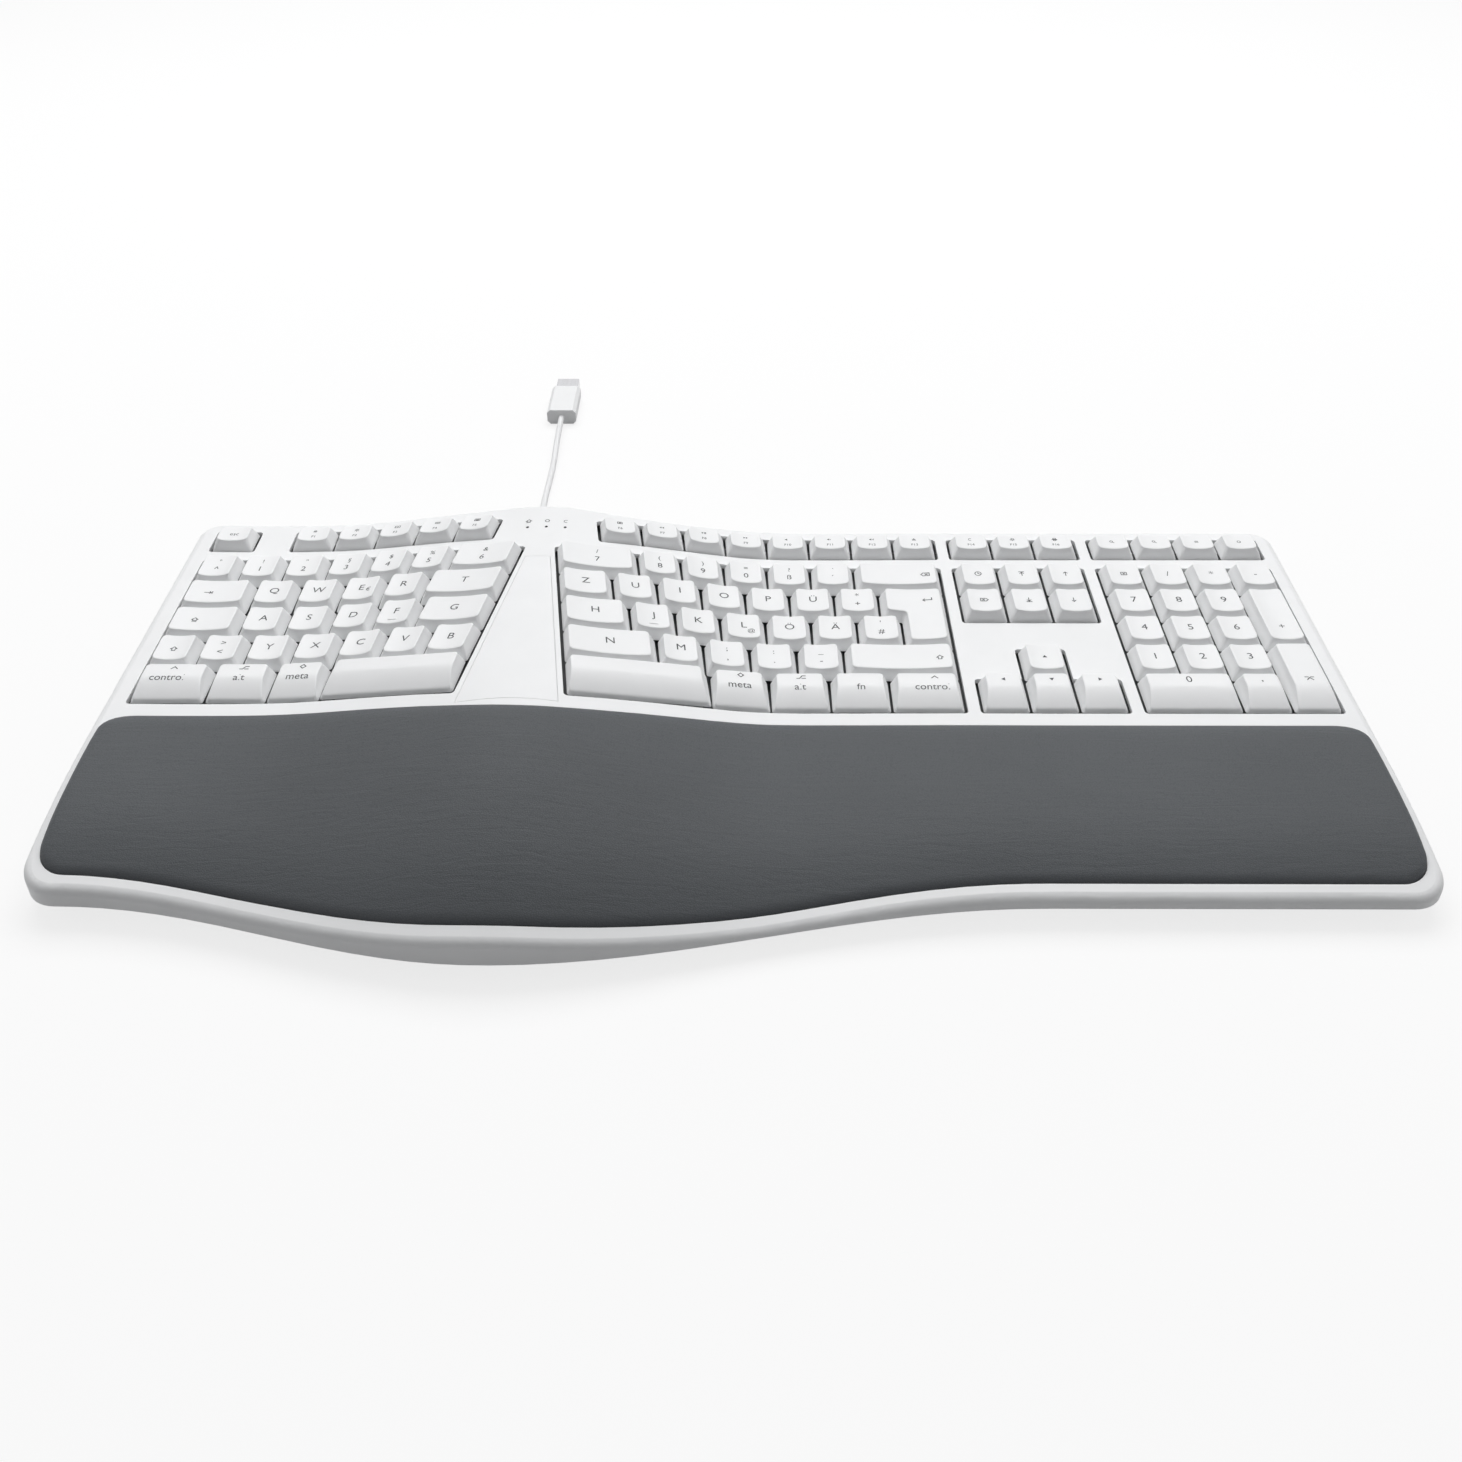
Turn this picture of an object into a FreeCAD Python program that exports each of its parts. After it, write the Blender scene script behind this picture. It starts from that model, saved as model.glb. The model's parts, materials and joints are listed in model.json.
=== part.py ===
import FreeCAD, Part
import math
import os

# Full-size wired ergonomic keyboard with a split, tented key field and a padded palm rest.
# Frame: +Z up, +X right, the user sits on the -Y side, origin on the desk below the case's middle.

V = FreeCAD.Vector
os.makedirs("parts", exist_ok=True)
doc = FreeCAD.newDocument("ErgonomicKeyboard")
sheet = doc.addObject("Spreadsheet::Sheet", "Sizes")

SIZES = [
    # case
    ("case_width", 490.0), ("case_depth", 239.0), ("deck_height", 17.5), ("split_height", 7.0),
    ("case_wall", 2.4), ("deck_thickness", 2.2), ("corner_front", 13.0), ("corner_back", 10.0),
    ("crest_round", 3.5), ("front_bulge", 24.4), ("bulge_left_reach", 150.0), ("bulge_right_reach", 190.0),
    ("hump_centre", -82.0), ("back_notch", 7.0), ("front_drop", 5.8),
    ("base_floor", 1.8), ("base_chamfer_in", 6.0),
    # tent of the key field
    ("tent_left_start", -192.0), ("tent_left_blend", 42.0), ("tent_slope_left", 0.185),
    ("tent_slope_right", 0.233), ("tent_crest_left", -100.0), ("tent_crest_blend", 38.0),
    ("tent_right_blend", 40.0), ("tent_right_end", 29.3), ("tent_front_keep", 0.67),
    # sweep of the rows towards the user
    ("sweep_left_start", -190.0), ("sweep_left_blend", 75.0), ("sweep_left", 0.165),
    ("sweep_right", 0.144), ("sweep_right_start", -40.0),
    # keys
    ("key_pitch", 19.05), ("key_gap", 0.9), ("key_rise", 5.0), ("key_sink", 1.0), ("key_travel", 3.6),
    ("cap_wall", 1.2), ("cap_side_inset", 2.2), ("cap_back_inset", 0.9), ("cap_front_inset", 2.1),
    ("cap_dish", 0.5), ("function_key_depth", 14.3), ("function_row_gap", 7.95), ("block_gap", 6.35),
    ("field_margin_left", 9.7), ("field_margin_right", 8.4), ("field_front", -6.5),
    ("opening_clearance", 0.8), ("inner_edge_left", -98.4), ("inner_edge_right", -70.4),
    ("inner_lean_left", 0.1623), ("inner_lean_right", 0.1437), ("function_left_start", -199.2),
    # key mechanism
    ("stem_width", 5.2), ("stem_length", 6.6), ("stem_clearance", 0.3), ("chimney_wall", 1.2),
    ("chimney_top", 2.4), ("guide_depth", 5.6), ("guide_thickness", 1.4), ("dome_gap", 0.3),
    ("dome_height", 4.0), ("dome_sheet_thickness", 0.4), ("membrane_thickness", 0.4),
    ("backplate_thickness", 0.8),
    # palm rest
    ("pad_back", -14.3), ("pad_rim_front", 6.0), ("pad_rim_side", 5.0), ("pad_corner", 11.0),
    ("pad_crown", 3.0), ("pad_edge", 1.2), ("foam_gap", 0.1), ("pad_skin", 0.9), ("tray_drop", 2.3),
    ("tray_thickness", 1.8), ("tray_flange", 2.0), ("tray_gap", 0.1),
    ("pad_clearance", 0.2),
    # small parts
    ("panel_back", 72.0), ("panel_front", -20.6), ("panel_strip", 2.0), ("panel_thickness", 1.0),
    ("led_row", 94.5), ("led_pitch", 8.3), ("led_diameter", 1.3), ("led_size", 1.8), ("led_height", 0.8),
    ("board_depth", 6.6), ("board_thickness", 1.6), ("board_width", 34.0), ("board_length", 21.0),
    ("screw_diameter", 2.6), ("boss_diameter", 5.0), ("screw_head", 4.4), ("screw_head_height", 1.5),
    ("case_screw_length", 9.0), ("frame_screw_length", 9.6), ("board_screw_length", 3.6),
    ("clamp_length", 18.0), ("clamp_depth", 3.0), ("clamp_height", 1.2), ("tail_width", 11.0),
    ("foot_height", 1.0), ("foot_length", 24.0), ("foot_width", 8.0), ("leg_length", 22.0),
    ("leg_width", 26.0), ("leg_thickness", 2.2), ("leg_pin", 1.8), ("leg_pin_length", 1.6),
    ("leg_inset", 70.0), ("leg_hinge_y", 108.0), ("leg_gap", 0.3), ("leg_roof", 1.3),
    ("wire_diameter", 1.2), ("wire_arm", 7.8), ("wire_back", 5.6), ("wire_depth", 3.4),
    ("wire_inset", 6.5), ("lug_width", 5.0),
    # cord, its put-away hank and its plug
    ("cord_diameter", 3.0), ("relief_length", 10.0), ("cord_exit_x", -93.0), ("cord_exit_z", 20.0),
    ("hank_run", 68.0), ("hank_fold", 6.0), ("hank_gap", 0.3), ("hank_x", -92.0), ("hank_y", 126.94),
    ("hank_start_x", -75.5), ("hank_end_x", -90.0), ("tie_width", 5.0), ("tie_thickness", 0.5), ("tie_x", -72.0),
    ("tie_gap", 0.1),
    ("grip_length", 28.0), ("grip_width", 15.6), ("grip_height", 8.4), ("shell_length", 12.0),
    ("shell_width", 12.0), ("shell_height", 4.5), ("shell_wall", 0.35),
]
for row, (name, value) in enumerate(SIZES, 1):
    sheet.set("A%d" % row, name)
    sheet.set("B%d" % row, str(value))
    sheet.setAlias("B%d" % row, name)
doc.recompute()


class Size:
    pass


S = Size()
for name, value in SIZES:
    setattr(S, name, float(sheet.get(name)))

u = S.key_pitch
half = S.case_width / 2


# Running integral of a profile given by straight pieces between nodes
def integral(nodes, x):
    total = 0.0
    for (xa, sa), (xb, sb) in zip(nodes, nodes[1:]):
        if x >= xb:
            total += (sa + sb) / 2 * (xb - xa)
        elif x > xa:
            sm = sa + (sb - sa) * (x - xa) / (xb - xa)
            total += (sa + sm) / 2 * (x - xa)
    return total


def value_at(nodes, x):
    for (xa, sa), (xb, sb) in zip(nodes, nodes[1:]):
        if xa <= x <= xb:
            return sa + (sb - sa) * (x - xa) / (xb - xa)
    return 0.0


crest_end = S.tent_crest_left + S.tent_crest_blend
tent = [(S.tent_left_start, 0.0), (S.tent_left_start + S.tent_left_blend, S.tent_slope_left),
        (S.tent_crest_left, S.tent_slope_left), (crest_end, -S.tent_slope_right),
        (S.tent_right_end - S.tent_right_blend, -S.tent_slope_right), (S.tent_right_end, 0.0)]
tent_sum = integral(tent, 1000.0)

# The row path closes on itself: the right blend is as long as the left half needs
sweep = [(S.sweep_left_start, 0.0), (S.sweep_left_start + S.sweep_left_blend, -S.sweep_left),
         (S.tent_crest_left, -S.sweep_left), (crest_end, S.sweep_right), (S.sweep_right_start, S.sweep_right)]
sweep_close = -integral(sweep, 1000.0) * 2 / S.sweep_right
sweep.append((S.sweep_right_start + sweep_close, 0.0))


def tent_rise(x):
    return integral(tent, x) - tent_sum


def bend(x):
    return integral(sweep, x)


def cosine_bump(x, centre, left, right):
    t = (x - centre) / (left if x < centre else right)
    return 0.5 * (1 + math.cos(math.pi * t)) if abs(t) < 1 else 0.0


def front_line(x):
    bump = cosine_bump(x, S.hump_centre, S.bulge_left_reach, S.bulge_right_reach)
    return -S.case_depth / 2 + S.front_bulge * (1 - bump)


def back_line(x):
    return S.case_depth / 2 - S.back_notch * cosine_bump(x, S.hump_centre + 20, 120, 85)


def tent_keep(y):
    t = (S.field_front - 13.5 - y) / (S.case_depth / 2 + S.field_front - 13.5)
    t = min(max(t, 0.0), 1.0)
    return 1 - (1 - S.tent_front_keep) * t * t * (3 - 2 * t)


def deck_drop(y):
    t = (S.field_front - 18.5 - y) / 70.0
    return -S.front_drop * t ** 2.6 if t > 0 else 0.0


def deck(x, y):
    return S.deck_height + deck_drop(y) + tent_rise(x) * tent_keep(y)


def slope(x, y):
    return value_at(tent, x) * tent_keep(y)


def spline(points):
    curve = Part.BSplineCurve()
    curve.interpolate([V(*p) for p in points])
    return curve.toShape()


def polygon_face(points):
    return Part.Face(Part.makePolygon([V(*p) for p in points] + [V(*points[0])]))


# Everything below the deck surface moved by an offset
DECK_X = [-1.06, -0.92, -0.78, -0.70, -0.61, -0.51, -0.41, -0.37, -0.33, -0.29, -0.25, -0.15, -0.04,
          0.04, 0.12, 0.25, 0.5, 0.8, 1.06]


def below_deck(offset):
    floor = -20.0
    far = half * 1.06
    sections = []
    for i in range(13):
        y = (i / 6 - 1) * 0.54 * S.case_depth
        top = spline([(f * half, y, deck(f * half, y) + offset) for f in DECK_X])
        a = top.Vertexes[0].Point
        b = top.Vertexes[-1].Point
        p = V(-far, y, floor)
        q = V(far, y, floor)
        sections.append(Part.Wire([top, Part.LineSegment(b, q).toShape(), Part.LineSegment(q, p).toShape(),
                                   Part.LineSegment(p, a).toShape()]))
    return Part.makeLoft(sections, True, False)


# Rounded outline in plan: front and back curves with arcs at the four corners
def rounded_outline(left, right, front, back, r_front, r_back, z, count=24):
    k = math.sqrt(0.5)

    def arc(p, c, q):
        m = (c[0] + (p[0] + q[0] - 2 * c[0]) * k, c[1] + (p[1] + q[1] - 2 * c[1]) * k)
        return Part.Arc(V(p[0], p[1], z), V(m[0], m[1], z), V(q[0], q[1], z)).toShape()

    fx = [left + r_front + (right - left - 2 * r_front) * i / count for i in range(count + 1)]
    bx = [right - r_back - (right - left - 2 * r_back) * i / count for i in range(count + 1)]
    f = [(x, front(x)) for x in fx]
    b = [(x, back(x)) for x in bx]
    edges = [spline([(x, y, z) for x, y in f])]
    p = f[-1]
    q = (right, p[1] + r_front)
    edges.append(arc(p, (p[0], q[1]), q))
    r = (right, b[0][1] - r_back)
    edges.append(Part.LineSegment(V(q[0], q[1], z), V(r[0], r[1], z)).toShape())
    edges.append(arc(r, (b[0][0], r[1]), b[0]))
    edges.append(spline([(x, y, z) for x, y in b]))
    p = b[-1]
    q = (left, p[1] - r_back)
    edges.append(arc(p, (p[0], q[1]), q))
    r = (left, f[0][1] + r_front)
    edges.append(Part.LineSegment(V(q[0], q[1], z), V(r[0], r[1], z)).toShape())
    edges.append(arc(r, (f[0][0], r[1]), f[0]))
    return Part.Wire(edges)


def case_outline(inset, z):
    return rounded_outline(-half + inset, half - inset, lambda x: front_line(x) + inset,
                           lambda x: back_line(x) - inset, max(S.corner_front - inset, 2.0),
                           max(S.corner_back - inset, 2.0), z)


def pad_outline(grow, z):
    left = -half + S.pad_rim_side - grow
    right = half - S.pad_rim_side + grow
    return rounded_outline(left, right, lambda x: front_line(x) + S.pad_rim_front - grow,
                           lambda x: S.pad_back + bend(x) + grow, S.pad_corner + grow, S.pad_corner + grow, z)


def prism(wire, height):
    return Part.Face(wire).extrude(V(0, 0, height))


nodes = {}


def feature(label, shape):
    obj = doc.addObject("Part::Feature", label)
    obj.Shape = shape
    obj.Label = label
    nodes[label] = obj
    return obj


def one(shape):
    solids = shape.Solids
    return solids[0] if len(solids) == 1 else Part.Compound(solids)


# Key layout
class Key:
    pass


keys = []
x_keypad = half - S.field_margin_right - 4 * u
x_nav = x_keypad - S.block_gap - 3 * u
x_main_right = x_nav - S.block_gap
x_main_left = -half + S.field_margin_left
y_row = [S.field_front + k * u for k in range(6)]
y_function = y_row[5] + S.function_row_gap


def step_along(x, length, direction):
    # walks along a row path on the tented deck until the given length is used
    n = 40
    part = length / n
    for i in range(n):
        sx = value_at(sweep, x)
        sz = value_at(tent, x)
        x += direction * part / math.sqrt(1 + sx * sx + sz * sz)
    return x


def add_key(group, xl, xr, y0, depth, kind="dish"):
    k = Key()
    k.group = group
    k.x = (xl + xr) / 2
    k.y = y0 + depth / 2 + bend(k.x)
    k.turn = math.atan(value_at(sweep, k.x))
    k.w = (xr - xl) / math.cos(k.turn) - S.key_gap
    k.d = depth - S.key_gap
    k.slope = value_at(tent, k.x)
    k.z = S.deck_height + tent_rise(k.x)
    k.kind = kind
    k.stem = 0.0
    keys.append(k)
    return k


def run_keys(group, x, widths, y0, depth=None, kind="dish", direction=1, groups=None):
    depth = u if depth is None else depth
    for i, width in enumerate(widths):
        x2 = step_along(x, width * u, direction)
        g = groups[i] if groups else group
        add_key(g, min(x, x2), max(x, x2), y0, depth, kind)
        x = x2
    return x


def inner_left(y):
    # right-hand limit of the left half's inner keys at a height in the field
    return S.inner_edge_left + (y - 34.0) * S.inner_lean_left + S.inner_lean_left * bend(S.inner_edge_left)


def inner_right(y):
    return S.inner_edge_right - (y - 34.0) * S.inner_lean_right - S.inner_lean_right * bend(S.inner_edge_right)


E0 = S.inner_edge_left
# left half: rows from the front
LEFT = [(0, [1.54, 1.275, 1.15], "keys_bottom_left", "key_space_left", "roll"),
        (1, [1.0, 1.0, 1.0, 1.0, 1.0, 1.0], "keys_lower_left", "keys_lower_left", "dish"),
        (2, [1.6, 1.0, 1.0, 1.0, 1.0], "keys_home_left", "keys_home_left", "dish"),
        (3, [1.56, 1.0, 1.0, 1.0, 1.0], "keys_upper_left", "keys_upper_left", "dish"),
        (4, [1.0, 1.0, 1.0, 1.0, 1.0, 1.0], "keys_number_left", "keys_number_left", "dish")]
for row, widths, group, inner_group, kind in LEFT:
    x = run_keys(group, x_main_left, widths, y_row[row], kind=kind)
    mid = y_row[row] + u / 2
    add_key(inner_group, x, inner_left(mid), y_row[row], u, kind)
# right half, from its right-hand side
RIGHT = [(0, [1.5, 1.25, 1.25, 1.25], "keys_bottom_right", "key_space_right", "roll"),
         (1, [2.4, 1.0, 1.0, 1.0, 1.0], "keys_lower_right", "keys_lower_right", "dish"),
         (2, [1.05, 1.0, 1.0, 1.0, 1.0, 1.0, 1.0], "keys_home_right", "keys_home_right", "dish"),
         (3, [1.5, 1.0, 1.0, 1.0, 1.0, 1.0, 1.0], "keys_upper_right", "keys_upper_right", "dish"),
         (4, [2.0, 1.0, 1.0, 1.0, 1.0, 1.0], "keys_number_right", "keys_number_right", "dish")]
FIRST = {1: "key_shift_right", 4: "key_backspace"}
enter_left_low = x_main_right
enter_left_high = x_main_right
for row, widths, group, inner_group, kind in RIGHT:
    x = x_main_right
    for i, width in enumerate(widths):
        x2 = step_along(x, width * u, -1)
        if i == 0 and row == 2:
            enter_left_low = x2
        elif i == 0 and row == 3:
            enter_left_high = x2
        else:
            add_key(FIRST[row] if i == 0 and row in FIRST else group, x2, x, y_row[row], u, kind)
        x = x2
    mid = y_row[row] + u / 2
    add_key(inner_group, inner_right(mid), x, y_row[row], u, kind)
# the tall angled Enter key over two rows
enter = add_key("key_enter", enter_left_high, x_main_right, y_row[2], 2 * u, "enter")
enter.notch = enter_left_low - enter_left_high
enter.stem = enter.notch / 2
# function row
fd = S.function_key_depth
add_key("key_escape", x_main_left, x_main_left + u, y_function, fd)
run_keys("keys_f1_to_f5", S.function_left_start, [1.0] * 5, y_function, fd)
run_keys("keys_f6_to_f13", x_main_right, [1.0] * 8, y_function, fd, direction=-1)
run_keys("keys_f14_to_f16", x_nav, [1.0] * 3, y_function, fd)
run_keys("keys_keypad_function", x_keypad, [1.0] * 4, y_function, fd)
# navigation block and arrows
run_keys("keys_navigation_upper", x_nav, [1.0] * 3, y_row[4])
run_keys("keys_navigation_lower", x_nav, [1.0] * 3, y_row[3])
add_key("key_arrow_up", x_nav + u, x_nav + 2 * u, y_row[1], u)
run_keys("keys_arrows_lower", x_nav, [1.0] * 3, y_row[0], kind="roll")
# keypad
run_keys("keys_keypad_operators", x_keypad, [1.0] * 4, y_row[4])
run_keys("keys_keypad_789", x_keypad, [1.0] * 3, y_row[3])
run_keys("keys_keypad_456", x_keypad, [1.0] * 3, y_row[2])
run_keys("keys_keypad_123", x_keypad, [1.0] * 3, y_row[1])
add_key("key_keypad_plus", x_keypad + 3 * u, x_keypad + 4 * u, y_row[2], 2 * u)
add_key("key_keypad_enter", x_keypad + 3 * u, x_keypad + 4 * u, y_row[0], 2 * u, "roll")
add_key("key_keypad_zero", x_keypad, x_keypad + 2 * u, y_row[0], u, "roll")
add_key("key_keypad_comma", x_keypad + 2 * u, x_keypad + 3 * u, y_row[0], u, "roll")


# A point of a key, from its own middle, at a height above the deck plane there
def on_key(k, a, b, height):
    c = math.cos(k.turn)
    s = math.sin(k.turn)
    dx = a * c - b * s
    dy = a * s + b * c
    return V(k.x + dx, k.y + dy, k.z + k.slope * dx + height)


def hull_between(lower, upper):
    # closed solid between two point loops of equal count, all faces flat
    n = len(lower)
    faces = [Part.Face(Part.makePolygon(lower + [lower[0]])), Part.Face(Part.makePolygon(upper + [upper[0]]))]
    for i in range(n):
        j = (i + 1) % n
        faces.append(Part.Face(Part.makePolygon([lower[i], lower[j], upper[j], upper[i], lower[i]])))
    solid = Part.Solid(Part.Shell(faces))
    if solid.Volume < 0:
        solid.reverse()
    return solid


def loop(k, left, right, front, back, height, notch=0.0):
    if notch:
        # the notch is in the front left corner, one row deep
        m = front + u
        pts = [(left + notch, front), (right, front), (right, back), (left, back), (left, m), (left + notch, m)]
    else:
        pts = [(left, front), (right, front), (right, back), (left, back)]
    return [on_key(k, a, b, height) for a, b in pts]


def block(k, a, b, half_a, half_b, low, high):
    corners = ((a - half_a, b - half_b), (a + half_a, b - half_b), (a + half_a, b + half_b), (a - half_a, b + half_b))
    return hull_between([on_key(k, p, q, low) for p, q in corners], [on_key(k, p, q, high) for p, q in corners])


# Stabiliser wire of a space bar: pivots behind, its tips carry the bar
wire_tip = S.wire_back - math.sqrt(S.wire_arm ** 2 - (S.key_travel / 2) ** 2)
tip_rest = -S.wire_depth + S.key_travel / 2
hook_low = tip_rest - 2.0


def wire_reach(k):
    return k.w / 2 - S.wire_inset


def cap(k):
    w = k.w / 2
    d = k.d / 2
    si = S.cap_side_inset
    bi = S.cap_back_inset
    fi = 0.4 if k.kind == "roll" else S.cap_front_inset
    notch = getattr(k, "notch", 0.0)
    low = -S.key_sink
    high = S.key_rise
    t = S.cap_wall
    outer = hull_between(loop(k, -w, w, -d, d, low, notch),
                         loop(k, -w + si, w - si, -d + fi, d - bi, high, notch))
    if k.kind == "roll":
        # the top rolls over in front and ends in a thin lip
        start = d - bi - 0.42 * min(k.d, u)
        if k.d > u:
            start = -d + 0.55 * u
        lip = 1.2
        mid_b = -d + (start + d) * 0.42
        mid_h = lip + (high - lip) * 0.72
        far = w + 3
        profile = [on_key(k, -far, start, high + 4), on_key(k, -far, start, high),
                   on_key(k, -far, mid_b, mid_h), on_key(k, -far, -d - 1, lip - 0.4),
                   on_key(k, -far, -d - 1, high + 4)]
        edges = [Part.LineSegment(profile[0], profile[1]).toShape(),
                 Part.Arc(profile[1], profile[2], profile[3]).toShape(),
                 Part.LineSegment(profile[3], profile[4]).toShape(),
                 Part.LineSegment(profile[4], profile[0]).toShape()]
        along = on_key(k, far, 0, 0) - on_key(k, -far, 0, 0)
        outer = outer.cut(Part.Face(Part.Wire(edges)).extrude(along))
        inner_front = -d + 0.62 * (start + d)
    else:
        # shallow dish across the top
        span = 2 * (w - si)
        sag = S.cap_dish
        radius = (span * span / 4 + sag * sag) / (2 * sag)
        axis = on_key(k, 0, 1, 0) - on_key(k, 0, 0, 0)
        base = on_key(k, 0, -d - 2, high - sag + radius)
        outer = outer.cut(Part.makeCylinder(radius, k.d + 4, base, axis))
        inner_front = -d + fi + t
    top = high - t - S.cap_dish
    inner = hull_between(loop(k, -w + t, w - t, -d + t, d - t, low - 0.5, notch),
                         loop(k, -w + si + t, w - si - t, inner_front, d - bi - t, top, notch))
    body = outer.cut(inner)
    side = S.stem_width / 2
    post = block(k, k.stem, 0, side, side, -S.stem_length, top + 0.35)
    added = [post]
    if "key_space" in k.group:
        # hooks that carry the tips of the stabiliser wire
        for side_a in (-1, 1):
            lug = block(k, side_a * wire_reach(k), wire_tip, S.lug_width / 2, 1.2, hook_low, top + 0.35)
            slot = block(k, side_a * wire_reach(k), wire_tip, S.lug_width / 2 - 0.9, 2.0,
                         tip_rest - 1.15, tip_rest + 1.15)
            added.append(lug.cut(slot))
    return one(body.fuse(added).removeSplitter())


groups = {}
for k in keys:
    groups.setdefault(k.group, []).append(k)
for label, members in groups.items():
    feature(label, Part.Compound([cap(k) for k in members]) if len(members) > 1 else cap(members[0]))

# Openings in the deck: one per block, following the row paths
c = S.opening_clearance


def opening_solid(x0, x1, y0, y1, lean_left=0.0, lean_right=0.0, r=1.6):
    # from x0 to x1; the long edges follow the rows and the ends may lean
    y0 -= c
    y1 += c
    mid = (y0 + y1) / 2

    def rim(y):
        pts = []
        n = 9
        for i in range(n + 1):
            x = x0 + (x1 - x0) * i / n
            x += (lean_left * (1 - i / n) + lean_right * i / n) * (y - mid)
            pts.append((x, y + bend(x), 0))
        if max(abs(bend(p[0])) for p in pts) < 1e-6:
            return Part.LineSegment(V(*pts[0]), V(*pts[-1])).toShape(), pts
        return spline(pts), pts

    front, fp = rim(y0)
    back, bp = rim(y1)
    sides = [Part.LineSegment(V(*a), V(*b)).toShape() for a, b in ((fp[-1], bp[-1]), (bp[0], fp[0]))]
    solid = prism(Part.Wire([front, sides[0], back, sides[1]]), 80)
    edges = []
    for e in solid.Edges:
        a, b = e.Vertexes[0].Point, e.Vertexes[-1].Point
        if abs(a.x - b.x) < 1e-6 and abs(a.y - b.y) < 1e-6:
            edges.append(e)
    return solid.makeFillet(r, edges).Solids[0]


openings = []
mid_field = (y_row[0] + y_row[5]) / 2
g = S.key_gap / 2
xl_in = inner_left(mid_field) + c
xr_in = inner_right(mid_field) - c
openings.append(opening_solid(x_main_left - c, xl_in, y_row[0], y_row[5], 0, S.inner_lean_left))
openings.append(opening_solid(xr_in, x_main_right + c, y_row[0], y_row[5], -S.inner_lean_right, 0))
y_fb = y_function + fd
fn_left_end = max(k.x + k.w / 2 for k in groups["keys_f1_to_f5"]) + g
fn_right_start = min(k.x - k.w / 2 for k in groups["keys_f6_to_f13"]) - g
openings.append(opening_solid(x_main_left - c, x_main_left + u + c, y_function, y_fb))
openings.append(opening_solid(S.function_left_start - c, fn_left_end + c, y_function, y_fb, 0,
                              S.inner_lean_left))
openings.append(opening_solid(fn_right_start - c, x_main_right + c, y_function, y_fb,
                                             -S.inner_lean_right, 0))
openings.append(opening_solid(x_nav - c, x_nav + 3 * u + c, y_function, y_fb))
openings.append(opening_solid(x_keypad - c, x_keypad + 4 * u + c, y_function, y_fb))
openings.append(opening_solid(x_nav - c, x_nav + 3 * u + c, y_row[3], y_row[5]))
openings.append(opening_solid(x_nav - c, x_nav + 3 * u + c, y_row[0], y_row[1]))
openings.append(opening_solid(x_nav + u - c, x_nav + 2 * u + c, y_row[0], y_row[2]))
openings.append(opening_solid(x_keypad - c, x_keypad + 4 * u + c, y_row[0], y_row[5]))

# Centre panel between the halves, and the shallow seat it lies in


def panel_outline(inset, z):
    yb = S.panel_back - inset
    yf = S.panel_front + inset

    def left(y):
        return inner_left(y - bend(S.inner_edge_left)) + c + S.panel_strip + inset

    def right(y):
        return inner_right(y - bend(S.inner_edge_right)) - c - S.panel_strip - inset

    return [(left(yf), yf, z), (right(yf), yf, z), (right(yb), yb, z), (left(yb), yb, z)]


surface = below_deck(0.0)
under_side = below_deck(-S.deck_thickness)
outer = prism(case_outline(0.0, S.split_height), 60).common(surface)
inner = prism(case_outline(S.case_wall, S.split_height - 1), 60).common(under_side)
shell = outer.cut(inner)
top_faces = sorted([f for f in shell.Faces if f.Area > 0.4 * S.case_width * S.case_depth],
                   key=lambda f: -f.CenterOfMass.z)
shell = shell.makeFillet(S.crest_round, top_faces[0].OuterWire.Edges)

# Bosses on the underside of the deck: for the case screws and for the key mechanism
strip_y = (S.pad_back + S.pad_clearance + S.field_front - c) / 2
case_points = [(x, strip_y + bend(x)) for x in (-0.93 * half, -0.6 * half, 0.02 * half, 0.38 * half,
                                                0.93 * half)]
strip_back = (y_row[5] + y_function) / 2
case_points += [(f * half, strip_back + bend(f * half)) for f in (-0.9, -0.57, 0.04, 0.5, 0.9)]
frame_points = [((x_main_left + u + S.function_left_start) / 2, y_function + fd / 2),
                (S.hump_centre - 1.5, 0.8 * S.panel_back), (S.hump_centre - 2, 0.3 * S.panel_back),
                (S.hump_centre - 2.5, -10.0), (x_nav + 1.5 * u, y_row[2] + 0.55 * u),
                (x_nav + 0.45 * u, y_row[1] + 0.45 * u), (x_nav + 2.55 * u, y_row[1] + 0.45 * u)]
floor_top = S.foot_height + S.base_floor
rb = S.boss_diameter / 2
hole = S.screw_diameter / 2


def flat_deck(x, y):
    return S.deck_height + tent_rise(x)


board_x = S.hump_centre - 1.0
board_y0 = y_function + bend(S.hump_centre) + 0.2
board_y1 = board_y0 + S.board_length
board_top = deck(board_x, S.led_row) - S.board_depth
board_points = [(board_x + i * (S.board_width / 2 - 3.2), board_y1 - 3.2) for i in (-1, 1)]
posts = []
bores = []
for x, y in board_points:
    top = deck(x, y) - S.deck_thickness + 0.6
    posts.append(Part.makeCylinder(rb, top - board_top, V(x, y, board_top)))
    bores.append(Part.makeCylinder(hole, 2.6, V(x, y, board_top - 0.2)))
for x, y in case_points:
    top = deck(x, y) - S.deck_thickness + 0.6
    base = floor_top + 2.2
    posts.append(Part.makeCylinder(rb, top - base, V(x, y, base)))
    bores.append(Part.makeCylinder(hole, top - 1.5 - base, V(x, y, base)))
for x, y in frame_points:
    top = deck(x, y) - S.deck_thickness + 0.6
    base = flat_deck(x, y) - S.guide_depth + 0.05
    posts.append(Part.makeCylinder(rb, top - base, V(x, y, base)))
    bores.append(Part.makeCylinder(hole, top - 1.2 - base, V(x, y, base)))
shell = shell.fuse(posts)
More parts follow.
